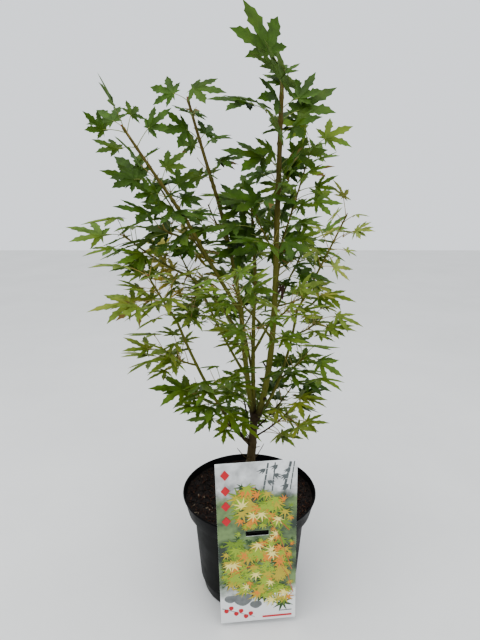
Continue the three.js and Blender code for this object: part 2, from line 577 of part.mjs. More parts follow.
// The card in its own frame: x across, y into the pot, z up from the rim's top edge.
function cardGeometry() {
  const low = CARD.above_floor - POT_HEIGHT;
  const slotTop = CARD_TAB.above_rim + CARD_TAB.thickness;
  const outline = new THREE.Shape();
  outline.moveTo(-CARD.width / 2, low);
  outline.lineTo(CARD.width / 2, low);
  outline.lineTo(CARD.width / 2, low + CARD.height);
  outline.lineTo(-CARD.width / 2, low + CARD.height);
  const slot = new THREE.Path();
  slot.moveTo(-CARD_TAB.width / 2, slotTop - CARD_TAB.slot_height);
  slot.lineTo(-CARD_TAB.width / 2, slotTop);
  slot.lineTo(CARD_TAB.width / 2, slotTop);
  slot.lineTo(CARD_TAB.width / 2, slotTop - CARD_TAB.slot_height);
  outline.holes.push(slot);
  const sheet = new THREE.ExtrudeGeometry(outline, { depth: CARD.thickness, bevelEnabled: false });
  sheet.rotateX(Math.PI / 2);
  const bridge = new THREE.BoxGeometry(CARD_TAB.width, CARD_TAB.depth + CARD.thickness, CARD_TAB.thickness);
  bridge.translate(0, (CARD_TAB.depth - CARD.thickness) / 2, slotTop - CARD_TAB.thickness / 2);
  const root = new THREE.BoxGeometry(CARD_TAB.width, CARD.thickness, 2 * CARD_TAB.thickness);
  root.translate(0, -CARD.thickness / 2, slotTop);
  const flap = new THREE.BoxGeometry(CARD_TAB.width, CARD_TAB.thickness, CARD_TAB.slot_height);
  flap.translate(0, CARD_TAB.depth - CARD_TAB.thickness / 2, slotTop - CARD_TAB.slot_height / 2);
  return geometryOf(wasm.Manifold.union([sheet, bridge, root, flap].map(solidOf)));
}

// The finishes, as seen in daylight.
const FINISH = {
  pot: { color: 0x1c1d1f, roughness: 0.42, metalness: 0 },
  soil: { color: 0x2a1a12, roughness: 0.98, metalness: 0 },
  card: { color: 0xd9dcdb, roughness: 0.3, metalness: 0 },
  bark: { color: 0x6d5a34, roughness: 0.75, metalness: 0 },
  foliage: { color: 0x4d7a24, roughness: 0.55, metalness: 0, side: THREE.DoubleSide },
};

function part(name, geometry, finish) {
  const mesh = new THREE.Mesh(geometry, new THREE.MeshStandardMaterial(FINISH[finish]));
  mesh.name = name;
  return mesh;
}

const plant = new THREE.Group();
plant.add(part("pot", potGeometry(), "pot"));
plant.add(part("soil", soilGeometry(), "soil"));

const cardPlace = new THREE.Group();
cardPlace.rotation.set(CARD.lean * DEGREE, CARD.roll * DEGREE, 0);
cardPlace.position.set(0, -(LIP_RADIUS + SEAT_GAP), POT_HEIGHT);
cardPlace.add(part("picture_card", cardGeometry(), "card"));
const cardTurn = new THREE.Group();
cardTurn.rotation.z = CARD.turn * DEGREE;
cardTurn.add(cardPlace);
plant.add(cardTurn);

const limbs = makeLimbs();
for (const limb of limbs) plant.add(part(limb.name, geometryOf(limb.solid), "bark"));
for (const spray of makeSprays(limbs)) {
  plant.add(part("foliage_" + spray.name, geometryOf(spray.solid), "foliage"));
}

export default plant;
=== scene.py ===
"""A young maple in a nursery pot: the visible surfaces over its frame of solids.

Metres in the scene, +Z up, -Y the front where the picture card hangs. The rule of growth and its
tables are in millimetres and are turned into metres when a mesh is made.
"""
import bisect
import math
from itertools import product

import bmesh
import bpy
import numpy as np
from bpy.props import FloatProperty, FloatVectorProperty, IntProperty, PointerProperty
from mathutils import Matrix, Quaternion, Vector
from mathutils.kdtree import KDTree


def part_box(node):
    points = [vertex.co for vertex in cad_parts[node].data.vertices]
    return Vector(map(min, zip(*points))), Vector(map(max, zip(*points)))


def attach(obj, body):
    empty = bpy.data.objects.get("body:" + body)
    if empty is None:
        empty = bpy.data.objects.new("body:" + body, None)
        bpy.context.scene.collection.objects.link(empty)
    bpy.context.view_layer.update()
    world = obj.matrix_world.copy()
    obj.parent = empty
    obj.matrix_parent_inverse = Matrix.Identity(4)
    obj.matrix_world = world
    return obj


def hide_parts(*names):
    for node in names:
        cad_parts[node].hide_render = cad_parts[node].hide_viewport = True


bl_info = {
    "name": "Potted Maple",
    "version": (1, 0, 0),
    "blender": (4, 5, 0),
    "location": "View3D > Sidebar > Maple",
    "description": "Dresses a young maple, its pot and its picture card",
    "category": "Object",
}

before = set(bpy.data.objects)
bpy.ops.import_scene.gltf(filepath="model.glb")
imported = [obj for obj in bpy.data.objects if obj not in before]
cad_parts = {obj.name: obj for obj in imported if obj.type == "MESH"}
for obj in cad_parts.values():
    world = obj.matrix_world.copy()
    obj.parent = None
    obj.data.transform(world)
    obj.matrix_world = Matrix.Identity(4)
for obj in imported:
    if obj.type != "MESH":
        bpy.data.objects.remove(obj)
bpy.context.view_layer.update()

MM = 0.001
UP = Vector((0, 0, 1))
BODY = "root"


def linear(red, green, blue):
    """A colour as seen on a screen, from 0 to 255, as the light that a shader takes."""
    shares = (red / 255, green / 255, blue / 255)
    return tuple(c / 12.92 if c <= 0.04045 else ((c + 0.055) / 1.055) ** 2.4 for c in shares)


# Wood: foot, bend and tip of each limb's curve, and its radius at foot and tip.
SOIL_TOP = 138.0
ROOT_FLARE = {"extra": 6, "share": 0.22}
TRUNK_SHOULDER = {"extra": 0.6, "share": 0.1}
LIMBS = {
    "trunk": ((-2, 2, SOIL_TOP - 1), (3, 2, 205), (7, 1, 267), 7.4, 5.2),
    "leader_stem": ((10, 0, 258), (34, -5, 335), (31, -14, 498), 4.3, 3.5),
    "left_stem": ((5, 2, 258), (-7, 6, 330), (-12, 12, 412), 3.7, 3.2),
    "middle_stem": ((7, 6, 258), (2, 10, 330), (7, 26, 450), 3.2, 2.3),
    "upper_left_bough": ((-12, 12, 406), (-22, 18, 480), (-42, 24, 551), 2.7, 2.4),
    "far_left_bough": ((-12, 11, 404), (-42, 2, 455), (-80, -12, 529), 2.6, 2.3),
    "low_left_bough": ((3, 0, 216), (-48, -20, 280), (-90, -40, 407), 2.4, 1.6),
    "middle_left_bough": ((-9, 9, 366), (-32, 6, 415), (-76, 2, 454), 2, 1.5),
    "back_left_bough": ((-4, 7, 316), (-34, 28, 358), (-60, 44, 415), 1.9, 1.4),
    "right_bough": ((22, -2, 278), (50, 10, 320), (64, 28, 404), 2.2, 1.6),
    "back_right_bough": ((5, 12, 350), (32, 46, 385), (60, 84, 442), 1.9, 1.3),
    "back_bough": ((4, 11, 318), (-4, 48, 352), (-16, 84, 412), 1.9, 1.3),
    "front_bough": ((29, -6, 372), (14, -34, 402), (-6, -62, 428), 1.7, 1.2),
}

# Foliage: the same sprays as in the solids, then how many rounds of small leaves fill the gaps between
# its pairs, and the tint that its leaves take.
SPRAY_FIELDS = (
    "name", "limb", "at", "azimuth", "rise", "reach", "lift", "pairs", "petiole", "leaf",
    "tip_leaf", "droop", "tip_droop", "seed", "face", "filling", "tint",
)
SPRAYS = [dict(zip(SPRAY_FIELDS, row)) for row in (
    ("leader_top", "leader_stem", 1, -75, 87, 194, 0, 7, 26, 46, 72, -25, -55, 16, 45, 1, "deep"),
    ("upper_left_top", "upper_left_bough", 1, 160, 72, 122, 2, 3, 20, 38, 44, -15, -12, 9, 45, 1, "deep"),
    ("far_left_top", "far_left_bough", 1, 196, 56, 120, 1, 5, 24, 36, 42, -25, -45, 10, 45, 1, "deep"),
    ("far_left_twin", "far_left_bough", 0.5, 165, 54, 122, 4, 4, 24, 38, 44, -10, -30, 20, 40, 2, "deep"),
    ("low_left_top", "low_left_bough", 1, 200, 60, 64, 2, 4, 30, 41, 41, -8, -10, 5, 5, 3, "fresh"),
    ("low_left_middle", "low_left_bough", 0.7, 180, 20, 44, 4, 3, 26, 41, 41, -6, -8, 6, 5, 3, "fresh"),
    ("low_left_foot", "low_left_bough", 0.4, 206, 26, 34, 5, 3, 22, 39, 39, -6, -8, 7, 5, 2, "summer"),
    ("low_left_inner", "low_left_bough", 0.5, 310, 32, 34, 3, 2, 24, 39, 39, -8, -8, 8, 5, 3, "summer"),
    ("middle_left_top", "middle_left_bough", 1, 182, 30, 94, 6, 4, 28, 46, 46, 0, -10, 9, 15, 3, "summer"),
    ("middle_left_low", "middle_left_bough", 0.7, 210, 0, 46, 4, 3, 30, 41, 41, -6, -8, 10, 5, 3, "fresh"),
    ("back_left_top", "back_left_bough", 1, 150, 52, 66, 6, 4, 30, 39, 39, 0, -10, 11, 15, 3, "young"),
    ("back_left_low", "back_left_bough", 0.6, 110, 22, 50, 4, 3, 26, 37, 37, -6, -8, 12, 5, 3, "summer"),
    ("middle_top", "middle_stem", 1, 122, 84, 96, 0, 4, 36, 40, 40, -15, -30, 16, 35, 2, "deep"),
    ("middle_inner", "middle_stem", 0.5, 262, 40, 44, 4, 3, 26, 35, 35, -6, -6, 14, 10, 3, "fresh"),
    ("right_top", "right_bough", 1, 18, 61, 140, 3, 4, 26, 32, 32, -5, -45, 15, 25, 1, "pale"),
    ("right_middle", "right_bough", 0.75, 0, 25, 42, 5, 3, 26, 39, 39, -8, -8, 16, 15, 2, "fresh"),
    ("right_low", "right_bough", 0.3, -40, 44, 60, 5, 3, 26, 41, 41, -8, -10, 17, 10, 3, "summer"),
    ("low_right_front", "trunk", 0.7, -10, 40, 80, 6, 3, 28, 45, 45, -6, -8, 18, 10, 3, "fresh"),
    ("low_right_back", "trunk", 0.78, 24, 40, 80, 6, 3, 26, 39, 39, -8, -8, 9, 10, 3, "deep"),
    ("low_front", "trunk", 0.66, 206, 40, 52, 4, 3, 24, 37, 37, 4, 4, 20, 20, 2, "summer"),
    ("low_back", "trunk", 0.68, 104, 38, 72, 6, 3, 26, 39, 39, -6, -6, 21, 5, 3, "summer"),
    ("back_right_top", "back_right_bough", 1, 48, 50, 60, 5, 4, 28, 39, 39, 0, -10, 22, 20, 2, "summer"),
    ("back_right_low", "back_right_bough", 0.6, 12, 15, 50, 4, 3, 26, 37, 37, -4, -4, 23, 5, 2, "summer"),
    ("back_top", "back_bough", 1, 90, 56, 64, 5, 4, 28, 41, 41, 0, -10, 24, 15, 3, "summer"),
    ("back_low", "back_bough", 0.6, 70, 20, 52, 4, 3, 26, 39, 39, -4, -4, 25, 5, 3, "summer"),
    ("front_top", "front_bough", 1, 246, 40, 46, 4, 3, 26, 35, 35, -5, 0, 26, 20, 2, "summer"),
    ("front_low", "front_bough", 0.5, 262, 5, 40, 4, 2, 24, 33, 33, -6, -6, 27, 10, 2, "summer"),
    ("leader_right", "leader_stem", 0.92, 14, 72, 132, 4, 4, 26, 40, 44, -15, -25, 23, 40, 3, "summer"),
    ("leader_left", "leader_stem", 0.94, 196, 60, 56, 4, 3, 28, 46, 46, -10, -20, 29, 35, 2, "deep"),
    ("leader_front", "leader_stem", 0.6, -60, 32, 48, 4, 3, 26, 34, 34, -20, -20, 30, 30, 1, "fresh"),
    ("leader_back", "leader_stem", 0.75, 76, 45, 66, 5, 3, 28, 41, 41, -10, -10, 31, 25, 3, "deep"),
    ("upper_left_back", "upper_left_bough", 0.6, 126, 42, 64, 5, 3, 28, 41, 41, 0, -5, 33, 20, 2, "summer"),
    ("far_left_low", "far_left_bough", 0.8, 214, 12, 50, 5, 3, 28, 43, 43, 0, 0, 34, 10, 3, "deep"),
)]

# The turn of a spray's first pair about its stem, where that pair isn't level.
FIRST_TURN = {"upper_left_top": 90}

# The rule of growth. Angles are in degrees, spreads are either way.
STEEP_RISE = 40
HABIT = {"steep": (0.2, 90), "level": (0.4, 24)}
LAST_PAIR = 0.98
OPENING = {"along": 56, "at_tip": 40}
SPREAD = {"turn": 26, "opening": 12, "stalk": 0.22, "blade": 0.16, "droop": 18, "roll": 26}
SHOOT = {"tip_share": 0.65, "aside_foot": 1.25}
LIGHT = Vector((0, -1, 0.4)).normalized()
FORK = {
    "chance": 0.2, "twig_length": 1.35, "foot_share": 0.45, "opening": 46,
    "stalk_share": 0.5, "blade_share": 0.82, "droop_step": 8,
}
STALK_TO_BLADE = 75
TRIES = ((0, 0), (26, 14), (-26, -16))
TIP_FALL = 0.13

# Shoots and petioles, in millimetres but for shares: the place of a shoot's first knot, what a knot
# is like, and a petiole's radius along its way.
FIRST_KNOT = 0.12
KNOT = {"swell": 0.35, "spread": 1.6, "step": 3, "sides": 8}
PETIOLE = {"foot": 0.75, "forked_foot": 0.95, "sides": 5, "into_blade": 0.03, "under_blade": 0.35}
PETIOLE_SHARES = (0.0, 0.12, 0.35, 0.65, 0.9, 1.0)
PETIOLE_RADII = (0.55, 0.45, 0.42, 0.5, 0.35)

# The finer growth between the pairs: smaller leaves on shorter stalks, kept apart by this many
# millimetres, and inside the mass's own space.
FILLING = {"seed_step": 50, "leaf": 0.74, "petiole": 0.85, "apart": 5.5, "proud": 5}

# How near a corner of the solid has to be to a leaf's tip, in millimetres, for the leaf to be there.
MATCH = 0.6

# One leaf, in shares of its middle lobe: each lobe's angle from the middle one and its length,
# the notches between lobes, and the saw teeth up each side as (share of the way, half width). Short
# lobes take the side teeth.
LOBES = ((-88, 0.52), (-45, 0.8), (0, 1.0), (45, 0.8), (88, 0.52))
NOTCHES = ((-110, 0.17), (-66, 0.25), (-22, 0.31), (22, 0.31), (66, 0.25), (110, 0.17))
NOTCH_RISE = {"most": 0.04, "reach": 0.4}
HEEL_LOBE = (128, 0.27)
HEEL_FALL = 0.02
HEEL = (168, 0.05)
TEETH = ((0.14, 1.1), (0.24, 0.96), (0.42, 1.58), (0.5, 1.06), (0.68, 1.1), (0.76, 0.58))
SIDE_TEETH = ((0.2, 1.12), (0.32, 0.8), (0.54, 0.98), (0.66, 0.5))
SHORT_LOBE = 0.6
RIM_RISE = 0.005
MIDRIB = {"along": 0.55, "sunk": 0.03}
BLADE_THICKNESS = 0.35

# How leaves differ, as middle and spread of each chance, in shares of a leaf: how far it is cupped,
# squeezed and bent aside. Then the waves round a blade, and how much weaker the second one is.
LEAF_LUCK = {"cup": (-0.03, 0.05), "squeeze": (1.0, 0.05), "aside": (0, 0.05)}
LEAF_WAVES = {"first": 2.3, "second": 3.1, "weaker": 0.6}

# Dry tips: leaves that have them, as a multiple of the setting, and the share of such a leaf's lobes.
DRY = {"leaves": 4, "lobes": 0.45}

# Pot, in millimetres: radius and height up the outside, over the lip, and down the inside.
POT_SIDES = 96
POT_PROFILE = (
    (65.2, 0), (66, 1.2), (69.8, 18), (70.8, 19), (79, 124.2), (87.0, 124.5), (87.6, 125.4),
    (92.8, 147), (94, 147.9), (94, 149.2), (93.4, 150), (92.4, 150), (91.9, 148.8),
    (86, 126.6), (77.4, 125.8), (65.4, 3),
)

# Heights between which the wall's grey, partly real dustiness and partly a painted sheen, thins out just
# under the collar as a painted shade there, in metres.
COLLAR_SHADE_EDGE = (0.126, 0.118)

# Compost, in millimetres: its depth and its wall's height, the mound by the trunk, how far down its
# loose top goes, and its chips of bark, whose length is least plus a part of more.
SOIL_RADIUS = 90.2
SOIL_FOOT_SHARE = 0.95
SOIL_EDGE_RISE = 4.5
SOIL_DEPTH = 12
SOIL_WALL = 10
SOIL_EDGE = 90
SOIL_MOUND = {"height": 1.6, "reach": 22, "low": 1.2}
SOIL_RINGS = 36
LOOSE_TOP = 5
CHIP = {"least": 1.4, "more": 4.5, "width": (0.8, 2.0), "height": (0.6, 1.4), "ragged": (-0.35, 0.2)}
CHIP_TILT = {"X": 0.35, "Y": 0.3}
CHIP_ROOM = {"wall": 3, "trunk": 14}
CHIP_BROWNS = ((56, 33, 22), (80, 50, 34), (22, 14, 10), (132, 118, 100))
PALE_CHIP_EVERY = 25
BOX_FACES = ((0, 1, 3, 2), (4, 6, 7, 5), (0, 4, 5, 1), (2, 3, 7, 6), (0, 2, 6, 4), (1, 5, 7, 3))

# The picture card, in millimetres and degrees. Its own frame is at the rim: x across, z up.
CARD = {"width": 99, "height": 245, "thickness": 0.8, "lean": 3, "roll": -1.5, "turn": 5, "low": -143.5}
CARD_SLOT = {"width": 29, "height": 7.5, "top": 2.0, "hook": 6.6}
CARD_SEAT = (0, -94.3, 150)

# The print's leaves: colour, share of their number, and length in millimetres.
PRINTED_LEAVES = (
    ((44, 74, 30), 0.25, 18), ((112, 138, 44), 0.25, 19), ((176, 160, 58), 0.2, 19),
    ((206, 130, 52), 0.12, 14), ((144, 166, 56), 0.12, 17), ((226, 214, 132), 0.06, 16),
)

# The print's layers: how far one lies over the next, and into how many levels each is split. Then
# how many fingers a printed leaf has.
PRINT_STEP = 0.08
PRINT_LEVELS = 40
STAR_FINGERS = 7

# Heights at which the print's ground turns from mist to green, and to bare paper, in metres.
MIST_EDGE = (0.19, 0.215)
PAPER_EDGE = (0.07, 0.045)

# Its twigs, as the two ends of each. Its canes, as place across, lean and width. Its pebbles, as
# place across, height over the card's foot, and half width and height. Its row of berries.
PRINT_TWIGS = ((44, -62, 8, 34), (40, 0, 14, 20), (46, -100, 26, -48), (-4, -50, -34, -66))
CANES = ((8, 5, 2.2), (19, 3, 1.5), (33, 7, 3.0), (41, 4, 1.4))
CANE = {"joints": 5, "foot": 42, "step": 8, "length": 7.4}
PEBBLES = ((-36, 40, 8, 6), (-20, 38, 12, 10), (-3, 28, 8, 6))
BERRIES = {"count": 6, "first": (-42, 24), "step": (6.4, -2.8), "aside": 3.6, "radius": 3}
LOZENGES = {"count": 4, "across": -38, "first": 16, "step": 22, "half_width": 5.5, "half_height": 7}

# Where leaves hang from the canes, as place across, drop from the card's top and the side that they
# hang to, and the leaves of one such tuft.
TUFT = {"dips": (-62, -38, -14), "length": (9, 12), "spread": 6}
BAMBOO_TUFTS = (
    (11, -10, -1), (13, -27, 1), (21, -18, 1), (26, -6, -1), (37, -20, -1), (39, -34, -1), (41, -12, -1),
)

# Heights over the floor at which the bark has its colours, in metres.
BARK_HEIGHTS = {"foot": 0.235, "fork": 0.262, "stems": (0.29, 0.4), "tips": 0.62}

# Where a limb leaves its parent: how far it starts inside, and its collar. How long a scar's swelling
# is, how much rougher the trunk is, and the radius from which the bark has its full relief.
LIMB_FOOT = {"inside": 1.5, "collar": 0.12, "collar_length": 7}
SCAR_LENGTH = 1.8
TRUNK_RELIEF = 2.2
FULL_RELIEF_RADIUS = 4

# Cut-back stubs: limb, share of the way up it, azimuth, rise, reach and radius.
STUBS = (
    ("trunk", 0.97, 150, 55, 9, 2.6), ("trunk", 0.9, 20, 40, 6, 2.0), ("trunk", 0.45, 250, 30, 5, 1.4),
    ("leader_stem", 0.12, 300, 35, 5, 1.5), ("leader_stem", 0.3, 200, 60, 9, 1.0),
)

# Bare twigs, each range as least and most: on the trunk, and on each spray. Then their radii.
DEAD_TWIGS = {"count": 9, "share": (0.15, 0.75), "rise": (15, 60), "reach": (14, 34), "lift": (0, 5)}
DEAD_TWIG_BEND = (-2, 2)
TWIGLETS = {"count": 3, "share": (0.15, 0.9), "rise": (-20, 40), "reach": (12, 30), "lift": (0, 4)}
TWIG_RADII = {"dead": (0.8, 0.35), "spray": (0.5, 0.3)}

# Buds: the end bud's length in shares of its shoot's radius, and the side buds' length and place.
BUD = {"end": 1.6, "side": 2.2, "out": 0.8}

# The dead leaf by the leader: its length, how it hangs, and how tightly it is curled.
DEAD_LEAF = {
    "share": 0.8, "foot": (3, -3, 0), "joint": (4, -6, -4), "length": 17.0,
    "forward": (0.15, -0.25, -0.96), "face": (0.1, -0.96, 0.27), "curl": 4.5, "curl_width": 5.5,
}

# The camera and the lights: places and sizes in metres, lens and sensor in millimetres, the tilt in
# degrees below level. A light has a name, a place, a size and its share of the power.
CAMERA = {"lens": 27.9, "sensor": 36, "place": (-0.0132, -0.6228, 0.5642), "tilt": 14.96}
LIGHTS = (("overhead", (-0.3, -0.5, 1.9), 1.2, 1.0), ("front", (0.9, -1.6, 1.0), 0.9, 0.35))
LIGHT_AIM = Vector((0, 0, 0.35))
FLOOR = {"size": 8, "drop": 0.0004}

# Tints: upper and under side of a leaf as seen on a screen, and how wide its lobes are.
TINTS = {
    "deep": ((61, 88, 23), (92, 116, 56), 1.0),
    "summer": ((92, 118, 46), (114, 136, 72), 0.78),
    "fresh": ((114, 132, 58), (132, 150, 86), 0.7),
    "pale": ((140, 154, 80), (152, 164, 104), 0.66),
    "young": ((150, 146, 72), (164, 146, 96), 0.64),
}


def tone(name, description, red, green, blue):
    """A colour in the panel, given as seen on a screen."""
    return FloatVectorProperty(name=name, description=description, subtype="COLOR", size=3,
                               default=linear(red, green, blue), min=0, max=1)


def measure(name, description, default, least, most, subtype="NONE"):
    return FloatProperty(name=name, description=description, default=default, min=least, max=most,
                         subtype=subtype)


def number(name, description, default, least, most):
    return IntProperty(name=name, description=description, default=default, min=least, max=most)


class WoodSettings(bpy.types.PropertyGroup):
    sides: number("Sides", "Faces round a limb", 18, 8, 48)
    step: measure("Step", "Length of one ring of bark, in millimetres", 2.0, 1.0, 6.0)
    node_gap: measure("Node gap", "Space between leaf scars, in millimetres", 34.0, 15.0, 80.0)
    node_swell: measure("Node swell", "How much thicker a node is than its stem", 0.16, 0.0, 0.5)
    relief: measure("Relief", "Height of the bark's ridges", 0.0006, 0.0, 0.003, "DISTANCE")
    brown: tone("Old bark", "Bark at the foot", 76, 64, 40)
    dark: tone("Dark bark", "Bark where the trunk forks", 48, 36, 22)
    olive: tone("Young bark", "Bark of the stems", 102, 104, 42)
    tan: tone("Shoot bark", "Bark of the boughs' ends", 92, 81, 36)


class LeafSettings(bpy.types.PropertyGroup):
    wave: measure("Wave", "How unevenly lobes rise and fall, as a share of the leaf", 0.06, 0.0, 0.2)
    arch: measure("Arch", "How far a petiole bows, as a share of its length", 0.07, 0.0, 0.3)
    scorched: measure("Scorched", "Share of lobes with a dry brown tip", 0.02, 0.0, 0.5)
    roughness: measure("Roughness", "Roughness of a leaf's upper side", 0.58, 0.2, 1.0)
    dry: tone("Dry", "Colour of dry tips and dead leaves", 98, 80, 34)
    stalk: tone("Stalk", "Colour of the petioles", 150, 132, 74)


class PotSettings(bpy.types.PropertyGroup):
    plastic: tone("Plastic", "Colour of the pot", 8, 8, 9)
    # The wall's grey: partly real dustiness, partly a painted sheen.
    dust_and_sheen: tone("Dust", "Colour of the dust on its wall", 25, 26, 23)
    soil: tone("Soil", "Colour of the damp compost", 32, 21, 15)
    chips: number("Chips", "Pieces of bark on the soil", 1500, 0, 3000)


class CardSettings(bpy.types.PropertyGroup):
    paper: tone("Paper", "Colour of the bare card", 222, 224, 224)
    leaves: number("Printed leaves", "Leaf shapes in the print", 520, 0, 1500)


class StageSettings(bpy.types.PropertyGroup):
    background: measure("Background", "Brightness of the surroundings", 1.0, 0.0, 3.0)
    overhead: measure("Overhead", "Power of the overhead light, in watts", 14.0, 0.0, 500.0)


# Meshes

def activate(piece):
    bpy.ops.object.select_all(action="DESELECT")
    piece.select_set(True)
    bpy.context.view_layer.objects.active = piece


def new_piece(name, points, faces, materials, indices=None, smooth=False):
    """A piece from points in millimetres and faces. indices deals the materials out face by face."""
    mesh = bpy.data.meshes.new(name)
    mesh.from_pydata((np.asarray(points, float) * MM).tolist(), [], faces)
    for material in materials:
        mesh.materials.append(material)
    if indices is not None:
        mesh.polygons.foreach_set("material_index", np.asarray(indices, np.int32))
    mesh.polygons.foreach_set("use_smooth", np.full(len(mesh.polygons), smooth))
    mesh.update()
    piece = bpy.data.objects.new(name, mesh)
    bpy.context.scene.collection.objects.link(piece)
    return piece


def apply_modifier(piece, kind, **values):
    activate(piece)
    modifier = piece.modifiers.new(kind.lower(), kind)
    for key, value in values.items():
        setattr(modifier, key, value)
    bpy.ops.object.modifier_apply(modifier=modifier.name)


def finish_piece(piece, slot, *nodes):
    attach(piece, BODY)
    if nodes:
        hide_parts(*nodes)


def edit_all(piece):
    activate(piece)
    bpy.ops.object.mode_set(mode="EDIT")
    bpy.ops.mesh.select_all(action="SELECT")


def sides_outward(piece):
    edit_all(piece)
    bpy.ops.mesh.normals_make_consistent(inside=False)
    bpy.ops.object.mode_set(mode="OBJECT")


def smooth_under(piece, degrees):
    """Smooth shading, but for edges sharper than an angle."""
    activate(piece)
    bpy.ops.object.shade_smooth_by_angle(angle=math.radians(degrees))


def start_disc(name, sides, radius, height):
    """A level disc in edit mode, all of it selected, to be drawn up. Sizes are in millimetres."""
    bpy.ops.object.select_all(action="DESELECT")
    bpy.ops.mesh.primitive_circle_add(vertices=sides, radius=radius * MM, fill_type="NGON",
                                      location=(0, 0, height * MM))
    piece = bpy.context.object
    piece.name = name
    bpy.ops.object.transform_apply(location=True)
    edit_all(piece)
    return piece


def clouds(name, size, depth):
    """A cloudy pattern for moving a surface in and out."""
    pattern = bpy.data.textures.new(name, "CLOUDS")
    pattern.noise_scale = size
    pattern.noise_depth = depth
    return pattern


# Materials

class Finish:
    """A material and the few steps that build its nodes."""

    def __init__(self, name, roughness=0.5):
        self.material = bpy.data.materials.new(name)
        self.material.use_nodes = True
        self.tree = self.material.node_tree
        self.surface = self.tree.nodes["Principled BSDF"]
        self.surface.inputs["Roughness"].default_value = roughness

    def add(self, kind, inputs=None, **settings):
        node = self.tree.nodes.new(kind)
        for key, value in settings.items():
            setattr(node, key, value)
        for key, value in (inputs or {}).items():
            if isinstance(value, bpy.types.NodeSocket):
                self.tree.links.new(value, node.inputs[key])
            else:
                node.inputs[key].default_value = value
        return node

    def place(self, scale=(1, 1, 1)):
        """Points on the piece, stretched for a pattern."""
        source = self.add("ShaderNodeTexCoord").outputs["Object"]
        return self.add("ShaderNodeMapping", {"Vector": source, "Scale": scale}).outputs["Vector"]

    def noise(self, place, scale, detail=4.0, roughness=0.55):
        values = {"Vector": place, "Scale": scale, "Detail": detail, "Roughness": roughness}
        return self.add("ShaderNodeTexNoise", values).outputs["Fac"]

    def spread(self, value, low, high, to_low=0.0, to_high=1.0):
        values = {"Value": value, "From Min": low, "From Max": high, "To Min": to_low, "To Max": to_high}
        return self.add("ShaderNodeMapRange", values).outputs["Result"]

    def blend(self, share, first, second):
        """A colour between two, each a colour or a socket."""
        node = self.add("ShaderNodeMix", data_type="RGBA")
        for socket, value in ((node.inputs[0], share), (node.inputs[6], first), (node.inputs[7], second)):
            if isinstance(value, bpy.types.NodeSocket):
                self.tree.links.new(value, socket)
            elif isinstance(value, float):
                socket.default_value = value
            else:
                socket.default_value = (*value[:3], 1)
        return node.outputs[2]

    def times(self, first, second):
        return self.add("ShaderNodeMath", {0: first, 1: second}, operation="MULTIPLY").outputs[0]

    def plus(self, first, second):
        return self.add("ShaderNodeMath", {0: first, 1: second}, operation="ADD").outputs[0]

    def height(self, place):
        return self.add("ShaderNodeSeparateXYZ", {"Vector": place}).outputs["Z"]

    def colour(self, value):
        self.tree.links.new(value, self.surface.inputs["Base Color"])

    def rough(self, value):
        self.tree.links.new(value, self.surface.inputs["Roughness"])

    def set(self, name, value):
        self.surface.inputs[name].default_value = value

    def bump(self, value, strength, distance):
        values = {"Height": value, "Strength": strength, "Distance": distance}
        node = self.add("ShaderNodeBump", values)
        self.tree.links.new(node.outputs["Normal"], self.surface.inputs["Normal"])


def shade(colour, factor):
    return tuple(min(1.0, c * factor) for c in colour)


def pot_finish(pot):
    finish = Finish("satin_black_plastic")
    place = finish.place()
    # Grey over the black: partly real dustiness in patches and runs, partly a painted sheen of the satin
    # plastic.
    patches = finish.noise(place, 26, 6, 0.6)
    runs = finish.noise(finish.place(scale=(60, 60, 4)), 1.0, 5, 0.6)
    # The grey thins to bare black just under the collar: painted shade of the collar.
    clear_of_collar_shade = finish.spread(finish.height(place), *COLLAR_SHADE_EDGE, 0.1, 1.0)
    dust_and_sheen_share = finish.times(finish.spread(finish.times(patches, runs), 0.12, 0.36), clear_of_collar_shade)
    finish.colour(finish.blend(dust_and_sheen_share, tuple(pot.plastic), tuple(pot.dust_and_sheen)))
    finish.rough(finish.spread(patches, 0.3, 0.7, 0.36, 0.58))
    finish.bump(finish.noise(place, 900, 3), 0.12, 0.0003)
    finish.set("Specular IOR Level", 0.1)
    return finish.material


def soil_finish(pot):
    finish = Finish("damp_compost", 0.95)
    place = finish.place()
    grains = finish.noise(place, 260, 8, 0.75)
    dark = shade(pot.soil, 0.2)
    light = shade(pot.soil, 2.2)
    finish.colour(finish.blend(finish.spread(grains, 0.44, 0.64), dark, light))
    finish.bump(finish.noise(place, 420, 6, 0.7), 0.9, 0.002)
    return finish.material


def chip_finish(name, colour):
    finish = Finish(name, 0.9)
    fibres = finish.noise(finish.place(scale=(1, 1, 3)), 500, 5)
    finish.colour(finish.blend(finish.spread(fibres, 0.3, 0.7), shade(colour, 0.55), colour))
    finish.bump(fibres, 0.5, 0.0006)
    return finish.material


def bark_finish(name, *steps):
    """Bark streaked along the grain. steps are (height, colour) up the plant, in metres."""
    finish = Finish(name, 0.66)
    place = finish.place()
    height = finish.height(place)
    grain = finish.noise(finish.place(scale=(1, 1, 0.12)), 620, 5, 0.6)
    blotches = finish.noise(place, 70, 5, 0.6)
    base = steps[0][1]
    for (low, _), (high, colour) in zip(steps, steps[1:]):
        base = finish.blend(finish.spread(height, low, high), base, colour)
    dark = shade(steps[0][1], 0.5)
    pale = shade(steps[-1][1], 1.2)
    streaked = finish.blend(finish.spread(grain, 0.4, 0.75, 0.0, 0.4), base, dark)
    finish.colour(finish.blend(finish.spread(blotches, 0.52, 0.72, 0.0, 0.35), streaked, pale))
    finish.bump(grain, 0.45, 0.0006)
    finish.set("Specular IOR Level", 0.25)
    return finish.material


